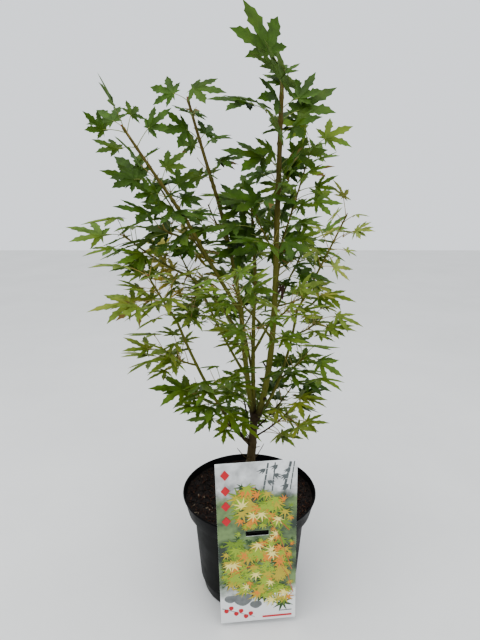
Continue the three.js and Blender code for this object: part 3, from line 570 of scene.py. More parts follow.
def leaf_finish(name, colour, roughness):
    finish = Finish(name, roughness)
    place = finish.place()
    mottle = finish.noise(place, 60, 5, 0.65)
    base = finish.blend(finish.spread(mottle, 0.36, 0.66), shade(colour, 0.64), shade(colour, 1.28))
    sunny = (colour[0] * 1.5, colour[1] * 1.2, colour[2])
    finish.colour(finish.blend(finish.spread(finish.noise(place, 20, 2), 0.5, 0.66, 0.0, 0.8), base, sunny))
    finish.bump(finish.noise(place, 600, 4), 0.35, 0.0006)
    finish.set("Specular IOR Level", 0.25)
    return finish.material


def plain_finish(name, colour, roughness, grain=300, change=0.25):
    """A finish that is nearly one colour, with a fine uneven grain."""
    finish = Finish(name, roughness)
    grains = finish.noise(finish.place(), grain, 5)
    finish.colour(finish.blend(grains, shade(colour, 1 - change), shade(colour, 1 + change)))
    finish.bump(grains, 0.2, 0.0003)
    return finish.material


# The rule of growth

def chance(seed, count):
    wave = math.sin(seed * 12.9898 + count * 78.233) * 43758.5453
    return wave - math.floor(wave)


def heading(azimuth, rise):
    level = math.cos(math.radians(rise))
    turn = math.radians(azimuth)
    return Vector((level * math.cos(turn), level * math.sin(turn), math.sin(math.radians(rise))))


def turned(vector, axis, degrees):
    out = vector.copy()
    out.rotate(Quaternion(axis, math.radians(degrees)))
    return out


class Bend:
    """A curve of three points, walked by its length."""

    STEPS = 200

    def __init__(self, foot, middle, end):
        self.points = [Vector(p) for p in (foot, middle, end)]
        raw = [self.raw(i / self.STEPS) for i in range(self.STEPS + 1)]
        self.lengths = [0.0]
        for last, here in zip(raw, raw[1:]):
            self.lengths.append(self.lengths[-1] + (here - last).length)

    @property
    def length(self):
        return self.lengths[-1]

    def raw(self, t):
        a, b, c = self.points
        return a * (1 - t) ** 2 + b * (2 * t * (1 - t)) + c * t ** 2

    def at_length(self, share):
        want = share * self.length
        i = min(max(bisect.bisect_right(self.lengths, want) - 1, 0), self.STEPS - 1)
        part = (want - self.lengths[i]) / (self.lengths[i + 1] - self.lengths[i])
        return (i + part) / self.STEPS

    def place(self, share):
        return self.raw(self.at_length(share))

    def way(self, share):
        t = self.at_length(share)
        a, b, c = self.points
        return ((b - a) * (1 - t) + (c - b) * t).normalized()


def limb_radius(name, share):
    *_, foot, tip = LIMBS[name]
    radius = foot + (tip - foot) * share
    if name == "trunk":
        low = max(0.0, 1 - share / ROOT_FLARE["share"])
        top = max(0.0, 1 - (1 - share) / TRUNK_SHOULDER["share"])
        radius += ROOT_FLARE["extra"] * low * low + TRUNK_SHOULDER["extra"] * top
    return radius


LIMB_CURVES = {name: Bend(*row[:3]) for name, row in LIMBS.items()}


def turn_to_light(flat, forward, most):
    """The turn about forward that brings a blade's face to the light, no more than most."""
    towards = LIGHT - forward * LIGHT.dot(forward)
    turn = math.degrees(math.atan2(flat.cross(towards).dot(forward), flat.dot(towards)))
    return max(-most, min(most, turn))


def leaf_choices(foot, want):
    """The ways in which one leaf is tried: first as it would grow, then swung and tilted aside."""
    out = []
    for swing, dip in TRIES:
        way = turned(want["way"], UP, swing)
        climb = math.degrees(math.asin(max(-1.0, min(1.0, way.z))))
        fall = math.radians(min(want["droop"] + dip, STALK_TO_BLADE - climb))
        level = Vector((way.x, way.y, 0)).normalized()
        forward = level * math.cos(fall) - UP * math.sin(fall)
        flat = level * math.sin(fall) + UP * math.cos(fall)
        normal = turned(flat, forward, turn_to_light(flat, forward, want["face"]) + want["roll"])
        joint = foot + way * want["stalk"]
        out.append({**want, "foot": foot, "way": way, "joint": joint, "forward": forward,
                    "normal": normal})
    return out


def fork_choices(leaf):
    """The two smaller leaves that a fork carries: they leave the stalk of the leaf between them."""
    foot = leaf["foot"].lerp(leaf["joint"], FORK["foot_share"])
    out = []
    for hand in (1, -1):
        out.append(leaf_choices(foot, {
            "way": turned(leaf["way"], UP, hand * FORK["opening"]),
            "stalk": leaf["stalk"] * FORK["stalk_share"],
            "blade": leaf["blade"] * FORK["blade_share"],
            "droop": leaf["droop"] + hand * FORK["droop_step"],
            "roll": leaf["roll"],
            "face": leaf["face"],
            "forks": False,
        }))
    return out


def spray_stem(spray):
    foot = LIMB_CURVES[spray["limb"]].place(spray["at"])
    way = heading(spray["azimuth"], spray["rise"])
    middle = foot + way * (spray["reach"] / 2) - UP * spray["lift"]
    end = foot + way * spray["reach"] + UP * spray["lift"]
    return Bend(foot, middle, end)


def pair_shares(spray):
    first, _ = HABIT["steep" if spray["rise"] > STEEP_RISE else "level"]
    return [first + (LAST_PAIR - first) * k / (spray["pairs"] - 1) for k in range(spray["pairs"])]


def pair_buds(spray, stem, share, k, last, draw):
    """The two leaves of one pair, each as its choices."""
    _, turn_per_pair = HABIT["steep" if spray["rise"] > STEEP_RISE else "level"]
    node = stem.place(share)
    along = stem.way(share)
    across = along.cross(UP).normalized()
    turn = FIRST_TURN.get(spray["name"], 0) + k * turn_per_pair + draw() * SPREAD["turn"]
    buds = []
    for hand in (1, -1):
        opening = math.radians(OPENING["at_tip" if last else "along"] + draw() * SPREAD["opening"])
        out = turned(across, along, turn) * hand
        want = {
            "way": along * math.cos(opening) + out * math.sin(opening),
            "stalk": spray["petiole"] * (1 + SPREAD["stalk"] * draw()),
            "blade": spray["tip_leaf" if last else "leaf"] * (1 + SPREAD["blade"] * draw()),
            "droop": spray["tip_droop" if last else "droop"] + SPREAD["droop"] * draw(),
            "roll": SPREAD["roll"] * draw(),
            "face": spray["face"],
        }
        want["forks"] = 0.5 * (draw() + 1) < FORK["chance"] and not last
        if want["forks"]:
            want["stalk"] *= FORK["twig_length"]
        buds.append(leaf_choices(node, want))
    return buds


def drawer(seed):
    count = 0

    def draw():
        nonlocal count
        count += 1
        return 2 * chance(seed, count) - 1

    return draw


def middle_tip(leaf):
    return leaf["joint"] + (leaf["forward"] - leaf["normal"] * TIP_FALL) * leaf["blade"]


def node_tree(name):
    """The corners of a mass's solid, in millimetres, to look leaves up in."""
    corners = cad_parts["foliage_" + name].data.vertices
    tree = KDTree(len(corners))
    for i, corner in enumerate(corners):
        tree.insert(corner.co / MM, i)
    tree.balance()
    return tree


def grown_leaves(spray, stem):
    """The leaves that the mass's solid has: of each leaf's choices, the one whose tip is there."""
    tree = node_tree(spray["name"])
    draw = drawer(spray["seed"])
    kept = []

    def place(choices):
        for leaf in choices:
            if tree.find(middle_tip(leaf))[2] < MATCH:
                kept.append(leaf)
                return leaf
        return None

    for k, share in enumerate(pair_shares(spray)):
        for choices in pair_buds(spray, stem, share, k, k == spray["pairs"] - 1, draw):
            leaf = place(choices)
            if leaf and leaf["forks"]:
                for more in fork_choices(leaf):
                    place(more)
    return kept


def marks(leaf):
    """A few points over a blade, for telling how near two blades are."""
    side = leaf["normal"].cross(leaf["forward"])
    out = [leaf["joint"]]
    for angle, length in LOBES:
        turn = math.radians(angle)
        way = leaf["forward"] * math.cos(turn) + side * math.sin(turn)
        out += [leaf["joint"] + way * (leaf["blade"] * length * part) for part in (0.5, 0.95)]
    return out


class Room:
    """What already stands in the crown, as points with a clearance, kept in cells."""

    CELL = 12.0

    def __init__(self):
        self.cells = {}

    def key(self, point):
        return tuple(int(math.floor(c / self.CELL)) for c in point)

    def add(self, points):
        for point in points:
            self.cells.setdefault(self.key(point), []).append(point)

    def free(self, points, apart):
        for point in points:
            x, y, z = self.key(point)
            for i, j, k in product((-1, 0, 1), repeat=3):
                for other in self.cells.get((x + i, y + j, z + k), ()):
                    if (other - point).length_squared < apart * apart:
                        return False
        return True


def filling_leaves(spray, stem, room):
    """Small leaves on finer stalks between the pairs, as far as there is room in the mass's space."""
    low, high = (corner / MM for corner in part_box("foliage_" + spray["name"]))
    proud = FILLING["proud"]
    shares = [FIRST_KNOT, *pair_shares(spray)]
    leaf_size = spray["leaf"] * FILLING["leaf"]
    smaller = dict(spray, leaf=leaf_size, petiole=spray["petiole"] * FILLING["petiole"])
    kept = []
    for turn in range(spray["filling"]):
        draw = drawer(spray["seed"] + FILLING["seed_step"] * (turn + 1))
        for k, (before, after) in enumerate(zip(shares, shares[1:])):
            share = before + (after - before) * (0.5 + 0.3 * draw())
            for choices in pair_buds(smaller, stem, share, k + 2 * turn + 1, False, draw):
                for leaf in choices:
                    points = marks(leaf)
                    inside = all(
                        all(low[i] - proud < p[i] < high[i] + proud for i in range(3)) for p in points
                    )
                    if inside and room.free(points, FILLING["apart"]):
                        room.add(points)
                        kept.append(leaf)
                        break
    return kept


def grow_crown():
    """Every spray with its stem, its leaves and its filling."""
    room = Room()
    for curve in LIMB_CURVES.values():
        room.add([curve.place(i / 60) for i in range(61)])
    crown = []
    for spray in SPRAYS:
        stem = spray_stem(spray)
        leaves = grown_leaves(spray, stem)
        for leaf in leaves:
            room.add(marks(leaf))
        room.add([stem.place(i / 30) for i in range(3, 31)])
        crown.append({"spray": spray, "stem": stem, "leaves": leaves})
    for grown in crown:
        grown["filling"] = filling_leaves(grown["spray"], grown["stem"], room)
    return crown


# Leaves and twigs from arrays

def polar(angle, reach):
    return reach * math.cos(math.radians(angle)), reach * math.sin(math.radians(angle))


def other_way(face):
    """A face seen from its other side, with the same corner first, so that it is split the same way."""
    return (face[0], *face[:0:-1])


def leaf_pattern(slimness):
    """One leaf: its points (forward, side, up), the faces of its upper side and which of them end a
    lobe, and the points inside its rim."""
    points = [(0.0, 0.0, -MIDRIB["sunk"] * 0.5)]
    top = []
    ends = []

    def add(x, y, z):
        points.append((x, y, z))
        return len(points) - 1

    cuts = [(angle, reach * slimness) for angle, reach in NOTCHES]
    rises = [NOTCH_RISE["most"] * reach / NOTCH_RISE["reach"] for _, reach in cuts]
    notches = [add(*polar(*cut), rise) for cut, rise in zip(cuts, rises)]
    heels = [add(*polar(hand * HEEL[0], HEEL[1]), 0.0) for hand in (-1, 1)]
    heel_lobes = [add(*polar(hand * HEEL_LOBE[0], HEEL_LOBE[1]), -HEEL_FALL) for hand in (-1, 1)]
    ribs = []
    for i, (angle, length) in enumerate(LOBES):
        teeth = TEETH if length > SHORT_LOBE else SIDE_TEETH
        tip = add(*polar(angle, length), -TIP_FALL * length)
        along = MIDRIB["along"] * length
        rib = add(*polar(angle, along), -TIP_FALL * length * MIDRIB["along"] ** 2 - MIDRIB["sunk"])
        ribs.append(rib)
        for hand, notch in ((-1, i), (1, i + 1)):
            gap = math.radians(cuts[notch][0] - angle)
            start = cuts[notch][1] * math.cos(gap)
            width = abs(cuts[notch][1] * math.sin(gap))
            edge = [notches[notch]]
            for share, wide in teeth:
                along = start + (length - start) * share
                fall = -TIP_FALL * length * (along / length) ** 2
                x, y = polar(angle, along)
                nx, ny = polar(angle + 90, hand * wide * width)
                edge.append(add(x + nx, y + ny, fall + RIM_RISE))
            edge.append(tip)
            faces = [(0, edge[0], edge[1], rib)]
            faces += [(rib, *edge[k:k + 3]) for k in range(1, len(edge) - 2, 2)]
            top += [face if hand < 0 else other_way(face) for face in faces]
            ends += [False] * (len(faces) - 1) + [True]
    heel = [(0, heels[0], heel_lobes[0], notches[0]), (0, notches[-1], heel_lobes[1], heels[1]),
            (0, heels[1], heels[0])]
    top += heel
    ends += [False] * len(heel)
    return np.array(points), top, ends, [0] + ribs


def leaf_shell(slimness):
    """The pattern closed to a thin shell: both sides share the rim."""
    points, top, ends, inner = leaf_pattern(slimness)
    below = {index: len(points) + i for i, index in enumerate(inner)}
    under = [tuple(below.get(i, i) for i in other_way(face)) for face in top]
    return points, inner, top, under, ends


def leaf_mesh_data(leaves, slimness, settings, seed):
    """Points, faces and material indices (0 upper, 1 under, 2 dry) of many leaves."""
    points, inner, top, under, ends = leaf_shell(slimness)
    luck = np.random.default_rng(seed)
    radius = np.hypot(points[:, 0], points[:, 1])
    bearing = np.arctan2(points[:, 1], points[:, 0])
    all_points = []
    faces = []
    indices = []
    for n, leaf in enumerate(leaves):
        length = leaf["blade"]
        shape = points.copy()
        lobe_rise = luck.normal(0, settings.wave, 3)
        cup = luck.normal(*LEAF_LUCK["cup"])
        first = lobe_rise[0] * np.sin(LEAF_WAVES["first"] * bearing)
        second = lobe_rise[1] * np.cos(LEAF_WAVES["second"] * bearing) * LEAF_WAVES["weaker"]
        shape[:, 2] += radius ** 2 * (first + second + cup)
        squeeze = luck.normal(*LEAF_LUCK["squeeze"])
        shape[:, 1] = shape[:, 1] * squeeze + shape[:, 0] ** 2 * luck.normal(*LEAF_LUCK["aside"])
        back = shape[inner].copy()
        back[:, 2] -= BLADE_THICKNESS / length
        shape = np.vstack([shape, back]) * length
        forward = np.array(leaf["forward"])
        normal = np.array(leaf["normal"])
        side = np.cross(normal, forward)
        placed = np.array(leaf["joint"]) + shape @ np.array([forward, side, normal])
        all_points.append(placed)
        base = n * (len(points) + len(inner))
        dry = luck.random() < settings.scorched * DRY["leaves"]
        faces += [tuple(base + i for i in face) for face in top + under]
        indices += [2 if dry and end and luck.random() < DRY["lobes"] else 0 for end in ends]
        indices += [1] * len(under)
    return np.vstack(all_points), faces, indices


def ring(place, across, other, radius, sides):
    """The corners of a level or leaning ring, from the two ways that it spans."""
    turns = [2 * math.pi * i / sides for i in range(sides)]
    return [place + (across * math.cos(turn) + other * math.sin(turn)) * radius for turn in turns]


def tube(points, radii, sides):
    """A closed tube through points: its corners and faces."""
    points = [Vector(p) for p in points]
    ways = [(points[min(i + 1, len(points) - 1)] - points[max(i - 1, 0)]).normalized()
            for i in range(len(points))]
    across = ways[0].orthogonal().normalized()
    corners = []
    for place, way, radius in zip(points, ways, radii):
        across = (across - way * across.dot(way)).normalized()
        corners += ring(place, across, way.cross(across), radius, sides)
    faces = [tuple(range(sides - 1, -1, -1))]
    for step in range(len(points) - 1):
        for i in range(sides):
            a = step * sides + i
            b = step * sides + (i + 1) % sides
            faces.append((a, b, b + sides, a + sides))
    last = (len(points) - 1) * sides
    faces.append(tuple(range(last, last + sides)))
    return corners, faces


class Bundle:
    """Many small closed shapes gathered into one piece."""

    def __init__(self):
        self.points = []
        self.faces = []
        self.indices = []

    def add(self, points, faces, index=0):
        base = len(self.points)
        self.points += [tuple(p) for p in points]
        self.faces += [tuple(base + i for i in face) for face in faces]
        self.indices += [index] * len(faces)

    def make(self, name, materials, smooth=True):
        return new_piece(name, self.points, self.faces, materials, self.indices, smooth=smooth)


def petiole(bundle, leaf, arch, index, foot_radius=PETIOLE["foot"]):
    """A stalk bowed a little upwards, thick at its foot and where it meets the blade."""
    foot, joint = leaf["foot"], leaf["joint"]
    rise = UP * ((joint - foot).length * arch)
    end = joint + leaf["forward"] * (PETIOLE["into_blade"] * leaf["blade"])
    end -= leaf["normal"] * PETIOLE["under_blade"]
    points = [foot.lerp(end, s) + rise * (4 * s * (1 - s)) for s in PETIOLE_SHARES]
    bundle.add(*tube(points, [foot_radius, *PETIOLE_RADII], PETIOLE["sides"]), index)


def twig(bundle, stem, foot_radius, tip_radius, knots, index):
    """A woody shoot with a small swelling at each of its knots."""
    steps = max(8, int(stem.length / KNOT["step"]))
    points = []
    radii = []
    for i in range(steps + 1):
        share = i / steps
        near = min(abs(share - knot) * stem.length for knot in knots)
        radius = foot_radius + (tip_radius - foot_radius) * share
        points.append(stem.place(share))
        radii.append(radius * (1 + KNOT["swell"] * math.exp(-(near / KNOT["spread"]) ** 2)))
    bundle.add(*tube(points, radii, KNOT["sides"]), index)


def bud(bundle, place, way, size):
    """A small pointed bud: five sides between two points."""
    across = way.orthogonal().normalized()
    other = way.cross(across)
    points = [place, place + way * size]
    for share, wide in ((0.3, 0.34), (0.62, 0.26)):
        points += ring(place + way * (size * share), across, other, size * wide, 5)
    faces = []
    for i in range(5):
        j = (i + 1) % 5
        faces += [(0, 2 + j, 2 + i), (2 + i, 2 + j, 7 + j, 7 + i), (7 + i, 7 + j, 1)]
    bundle.add(points, faces)


class MAPLE_OT_pot(bpy.types.Operator):
    """Turn up the pot's wall, lip and foot"""
    bl_idname = "maple.pot"
    bl_label = "Pot"

    def execute(self, context):
        radius, height = POT_PROFILE[0]
        pot = start_disc("nursery_pot", POT_SIDES, radius, height)
        for wide, high in POT_PROFILE[1:]:
            rise = {"value": (0, 0, (high - height) * MM)}
            bpy.ops.mesh.extrude_region_move(TRANSFORM_OT_translate=rise)
            bpy.ops.transform.resize(value=(wide / radius, wide / radius, 1))
            radius, height = wide, high
        bpy.ops.object.mode_set(mode="OBJECT")
        sides_outward(pot)
        apply_modifier(pot, "BEVEL", width=0.0004, segments=2, angle_limit=math.radians(25))
        smooth_under(pot, 35)
        pot.data.materials.append(pot_finish(context.scene.maple_pot))
        finish_piece(pot, "pot", "pot")
        return {"FINISHED"}


def soil_height(x, y):
    """The soil's top in millimetres: mounded by the trunk, higher by the wall."""
    reach = math.hypot(x, y)
    ripple = 0.9 * math.sin(x * 0.11 + 1.3) * math.cos(y * 0.13) + 0.5 * math.sin((x + y) * 0.31)
    mound = SOIL_MOUND["height"] * math.exp(-(reach / SOIL_MOUND["reach"]) ** 2)
    rise = mound + SOIL_EDGE_RISE * (reach / SOIL_EDGE) ** 3
    return SOIL_TOP - SOIL_MOUND["low"] + rise + ripple


class MAPLE_OT_soil(bpy.types.Operator):
    """Fill the pot with compost and strew bark over it"""
    bl_idname = "maple.soil"
    bl_label = "Soil"

    def execute(self, context):
        settings = context.scene.maple_pot
        soil = start_disc("compost", POT_SIDES, SOIL_RADIUS, SOIL_TOP - SOIL_DEPTH)
        bpy.ops.mesh.extrude_region_move(TRANSFORM_OT_translate={"value": (0, 0, SOIL_WALL * MM)})
        for _ in range(SOIL_RINGS):
            bpy.ops.mesh.inset(thickness=SOIL_RADIUS / (SOIL_RINGS + 2) * MM)
        bpy.ops.mesh.poke()
        bpy.ops.object.mode_set(mode="OBJECT")
        sides_outward(soil)
        for corner in soil.data.vertices:
            x, y, z = corner.co / MM
            if z > SOIL_TOP - LOOSE_TOP:
                corner.co.z = soil_height(x, y) * MM
            else:
                corner.co.x *= SOIL_FOOT_SHARE
                corner.co.y *= SOIL_FOOT_SHARE
        top = soil.vertex_groups.new(name="top")
        top.add([v.index for v in soil.data.vertices if v.co.z > (SOIL_TOP - LOOSE_TOP - 1) * MM
                 and math.hypot(v.co.x, v.co.y) < (SOIL_RADIUS - 0.5) * MM], 1.0, "REPLACE")
        apply_modifier(soil, "DISPLACE", texture=clouds("lumps", size=0.006, depth=3), strength=0.0045,
                       mid_level=0.55, texture_coords="LOCAL", direction="Z", vertex_group="top")
        smooth_under(soil, 50)
        soil.data.materials.append(soil_finish(settings))
        finish_piece(soil, "soil", "soil")
        self.strew_chips(settings)
        return {"FINISHED"}

    def strew_chips(self, settings):
        """Ragged chips of bark all over the soil, but for the trunk's foot."""
        luck = np.random.default_rng(11)
        chips = Bundle()
        foot_x, foot_y, _ = LIMBS["trunk"][0]
        for n in range(settings.chips):
            reach = (SOIL_RADIUS - CHIP_ROOM["wall"]) * math.sqrt(luck.random())
            turn = luck.random() * 2 * math.pi
            x, y = reach * math.cos(turn), reach * math.sin(turn)
            if math.hypot(x - foot_x, y - foot_y) < CHIP_ROOM["trunk"]:
                continue
            length = CHIP["least"] + CHIP["more"] * luck.random() ** 2
            width = luck.uniform(*CHIP["width"])
            height = luck.uniform(*CHIP["height"])
            spin = Matrix.Rotation(luck.random() * 2 * math.pi, 3, "Z")
            tilt = Matrix.Rotation(luck.normal(0, CHIP_TILT["X"]), 3, "X")
            tilt = tilt @ Matrix.Rotation(luck.normal(0, CHIP_TILT["Y"]), 3, "Y")
            corners = []
            for i, j, k in product((-0.5, 0.5), repeat=3):
                ragged = 1 + luck.uniform(*CHIP["ragged"])
                spot = Vector((i * length, j * width * ragged, k * height))
                corners.append(spin @ tilt @ spot + Vector((x, y, soil_height(x, y) + 0.5)))
            chips.add(corners, BOX_FACES, 3 if n % PALE_CHIP_EVERY == 0 else n % 3)
        finishes = [chip_finish(f"bark_chip_{i}", linear(*c)) for i, c in enumerate(CHIP_BROWNS)]
        finish_piece(chips.make("bark_chips", finishes, smooth=False), "soil")


def card_place():
    """From the card's own frame (x across, y into the pot, z up from the rim) to the scene's."""
    turn = Matrix.Rotation(math.radians(CARD["turn"]), 4, "Z")
    lean = Matrix.Rotation(math.radians(CARD["lean"]), 4, "X")
    roll = Matrix.Rotation(math.radians(CARD["roll"]), 4, "Y")
    return turn @ Matrix.Translation(Vector(CARD_SEAT) * MM) @ lean @ roll


def printed(name, shapes, material, layer=1):
    """Flat printed shapes: outlines of (across, up), each a thin closed layer on the card's face.

    Shapes of one layer overlap, so each lies a hair over the one before it.
    """
    back = -CARD["thickness"] + 0.05
    bundle = Bundle()
    for order, outline in enumerate(shapes):
        level = PRINT_STEP * (order % PRINT_LEVELS) / PRINT_LEVELS
        front = -CARD["thickness"] - PRINT_STEP * layer - level
        n = len(outline)
        points = [(x, front, z) for x, z in outline] + [(x, back, z) for x, z in outline]
        faces = [tuple(range(n)), tuple(range(2 * n - 1, n - 1, -1))]
        faces += [(i, i + n, (i + 1) % n + n, (i + 1) % n) for i in range(n)]
        bundle.add(points, faces)
    piece = bundle.make(name, [material], smooth=False)
    sides_outward(piece)
    piece.data.transform(card_place())
    finish_piece(piece, "card")


def star_leaf(x, z, size, turn):
    """A printed leaf: narrow fingers round a heel."""
    outline = []
    for i in range(STAR_FINGERS):
        angle = -120 + 240 * i / (STAR_FINGERS - 1)
        reach = size * (1 - 0.5 * abs(angle / 120) ** 1.6)
        outline += [(angle - 17, reach * 0.3), (angle - 5, reach * 0.66)]
        outline += [(angle, reach), (angle + 5, reach * 0.66)]
    outline += [(137, size * 0.16), (180, size * 0.1)]
    out = []
    for angle, reach in outline:
        turned_by = math.radians(angle + turn)
        out.append((x - reach * math.sin(turned_by), z + reach * math.cos(turned_by)))
    return out


def stroke(points, width, tip_width=None):
    """The outline of a line drawn through points, from one width to another."""
    points = [Vector(p) for p in points]
    tip_width = width if tip_width is None else tip_width
    left = []
    right = []
    for i, point in enumerate(points):
        way = (points[min(i + 1, len(points) - 1)] - points[max(i - 1, 0)]).normalized()
        half = 0.5 * (width + (tip_width - width) * i / (len(points) - 1))
        left.append((point.x - way.y * half, point.y + way.x * half))
        right.append((point.x + way.y * half, point.y - way.x * half))
    return left + right[::-1]


def blade(x, z, reach, dip):
    """A printed bamboo leaf that hangs from a joint by an angle."""
    way = Vector((math.cos(math.radians(dip)) * reach, math.sin(math.radians(dip)) * abs(reach)))
    wide = Vector((-way.y, way.x)).normalized() * 1.3
    middle = Vector((x, z)) + way * 0.4
    return [(x, z), tuple(middle + wide), (x + way.x, z + way.y), tuple(middle - wide)]


def disc(x, z, across, up):
    """A printed pebble or berry."""
    return [(x + across * math.cos(t), z + up * math.sin(t) * (1 + 0.12 * math.sin(3 * t)))
            for t in (2 * math.pi * i / 20 for i in range(20))]


def card_finish(settings):
    """The print's ground: pale mist over and under a dark green blur."""
    finish = Finish("coated_card", 0.28)
    place = finish.place()
    cloud = finish.noise(place, 26, 5)
    level = finish.plus(finish.height(place), finish.times(finish.plus(cloud, -0.5), 0.11))
    patches = finish.spread(finish.noise(place, 34, 3), 0.4, 0.62)
    green = finish.blend(patches, linear(34, 52, 38), linear(112, 136, 84))
    mist = finish.blend(finish.spread(cloud, 0.42, 0.6), shade(settings.paper, 0.55), settings.paper)
    misty = finish.blend(finish.spread(level, *MIST_EDGE), green, mist)
    finish.colour(finish.blend(finish.spread(level, *PAPER_EDGE), misty, settings.paper))
    finish.set("Coat Weight", 0.4)
    return finish.material


class MAPLE_OT_card(bpy.types.Operator):
    """Cut the card with its hook and lay its print on it"""
    bl_idname = "maple.card"
    bl_label = "Picture card"

    def execute(self, context):
        settings = context.scene.maple_card
        low = CARD["low"]
        centre = (low + CARD["height"] / 2) * MM
        bpy.ops.object.select_all(action="DESELECT")
        bpy.ops.mesh.primitive_plane_add(size=1, location=(0, 0, centre), rotation=(math.pi / 2, 0, 0))
        card = context.object
        card.name = "hanging_card"
        card.scale = (CARD["width"] * MM, CARD["height"] * MM, 1)
        bpy.ops.object.transform_apply(location=True, rotation=True, scale=True)
        bpy.ops.object.mode_set(mode="EDIT")
        half = CARD_SLOT["width"] / 2 * MM
        top = CARD_SLOT["top"] * MM
        cuts = (((-half, 0, 0), (1, 0, 0)), ((half, 0, 0), (1, 0, 0)), ((0, 0, top), (0, 0, 1)),
                ((0, 0, top - CARD_SLOT["height"] * MM), (0, 0, 1)))
        for place, way in cuts:
            bpy.ops.mesh.select_all(action="SELECT")
            bpy.ops.mesh.bisect(plane_co=place, plane_no=way)
        bm = bmesh.from_edit_mesh(card.data)
        bpy.ops.mesh.select_all(action="DESELECT")
        bpy.ops.mesh.select_mode(type="FACE")
        for face in bm.faces:
            middle = face.calc_center_median()
            face.select_set(abs(middle.x) < half and top - CARD_SLOT["height"] * MM < middle.z < top)
        bmesh.update_edit_mesh(card.data)
        bpy.ops.mesh.delete(type="FACE")
        bpy.ops.mesh.select_mode(type="EDGE")
        bm = bmesh.from_edit_mesh(card.data)
        for edge in bm.edges:
            ends = [v.co for v in edge.verts]
            edge.select_set(all(abs(c.z - top) < 1e-6 and abs(c.x) < half + 1e-6 for c in ends))
        bmesh.update_edit_mesh(card.data)
        hook = CARD_SLOT["hook"] * MM
        bpy.ops.mesh.extrude_region_move(TRANSFORM_OT_translate={"value": (0, hook, 0)})
        drop = {"value": (0, 0, -CARD_SLOT["height"] * MM)}
        bpy.ops.mesh.extrude_region_move(TRANSFORM_OT_translate=drop)
        bpy.ops.object.mode_set(mode="OBJECT")
        sides_outward(card)
        apply_modifier(card, "SOLIDIFY", thickness=CARD["thickness"] * MM, offset=1)
        apply_modifier(card, "BEVEL", width=0.00015, segments=2, angle_limit=math.radians(40))
        card.data.materials.append(plain_finish("bare_card", tuple(settings.paper), 0.3, 200, 0.04))
        card.data.materials.append(card_finish(settings))
        for face in card.data.polygons:
            face.material_index = 1 if face.normal.y < -0.9 else 0
        card.data.transform(card_place())
        finish_piece(card, "card", "picture_card")
        self.print_picture(settings)
        return {"FINISHED"}

    def print_picture(self, settings):
        """A generic design: golden leaves on green, ink bamboo above, pebbles and berries below."""
        luck = np.random.default_rng(5)
        wide = CARD["width"] / 2
        low = CARD["low"]
        high = low + CARD["height"]
        for i, (colour, share, reach) in enumerate(PRINTED_LEAVES):
            shapes = []
            for _ in range(int(settings.leaves * share)):
                x = luck.uniform(-wide, wide)
                z = luck.uniform(low + 26, high - 32)
                size = min(luck.uniform(0.6, 1.0) * reach, wide - abs(x) - 1, self.from_slot(x, z) - 0.6)
                over = z > high - 34 - 0.5 * max(0, x + 8)
                under = z < low + 70 - 0.55 * (x + wide)
                beside = z > low + 130 and x < -24
                if size > 4 and not (over or under or beside):
                    shapes.append(star_leaf(x, z, size, luck.normal(150, 45)))
            finish = plain_finish(f"print_leaf_{i}", linear(*colour), 0.3, 160, 0.2)
            printed(f"print_leaves_{i}", shapes, finish, 1 + i)

        twigs = [stroke([(a, b), ((a + c) / 2 + 3, (b + d) / 2 + 3), (c, d)], 0.9, 0.4)
                 for a, b, c, d in PRINT_TWIGS]
        printed("print_twigs", twigs, plain_finish("print_coral", linear(186, 96, 64), 0.3), 7)

        canes = []
        for x, lean_by, thick in CANES:
            for joint in range(CANE["joints"]):
                z = high - CANE["foot"] + CANE["step"] * joint
                foot = x + lean_by * joint / (CANE["joints"] - 1)
                tip = foot + lean_by / CANE["joints"]
                canes.append(stroke([(foot, z), (tip, z + CANE["length"])], thick))
        for x, z, side in BAMBOO_TUFTS:
            for dip in TUFT["dips"]:
                reach = side * luck.uniform(*TUFT["length"])
                canes.append(blade(x, high + z, reach, dip + luck.uniform(-TUFT["spread"], TUFT["spread"])))
        printed("print_bamboo", canes, plain_finish("print_ink", linear(86, 92, 92), 0.3, 90, 0.4))

        marks = []
        for i in range(LOZENGES["count"]):
            x, z = LOZENGES["across"], high - LOZENGES["first"] - LOZENGES["step"] * i
            wide_by, high_by = LOZENGES["half_width"], LOZENGES["half_height"]
            marks.append([(x, z - high_by), (x + wide_by, z), (x, z + high_by), (x - wide_by, z)])
        marks.append(stroke([(wide - 44, low + 6), (wide - 5, low + 6)], 2.2))
        (x, z), (step_x, step_z) = BERRIES["first"], BERRIES["step"]
        for i in range(BERRIES["count"]):
            aside = BERRIES["aside"] if i % 2 else -BERRIES["aside"]
            berry = (x + step_x * i, low + z + step_z * i + aside)
            marks.append(disc(*berry, BERRIES["radius"], BERRIES["radius"]))
        red = plain_finish("print_red", linear(190, 40, 46), 0.3, 120, 0.15)
        printed("print_red_marks", marks, red, 8)

        pebbles = [disc(x, low + z, across, up) for x, z, across, up in PEBBLES]
        grey = [*pebbles, stroke([(wide - 22, low + 14), (wide - 5, low + 14)], 1.4),
                stroke([(-wide + 2, low + 25), (-5, low + 7)], 1.0, 0.5)]
        printed("print_pebbles", grey, plain_finish("print_stone", linear(112, 116, 116), 0.3, 120, 0.6), 2)

    def from_slot(self, x, z):
        """How far a place on the card is from the slot."""
        top = CARD_SLOT["top"]
        above = max(0, z - top, top - CARD_SLOT["height"] - z)
        return math.hypot(max(0, abs(x) - CARD_SLOT["width"] / 2), above)


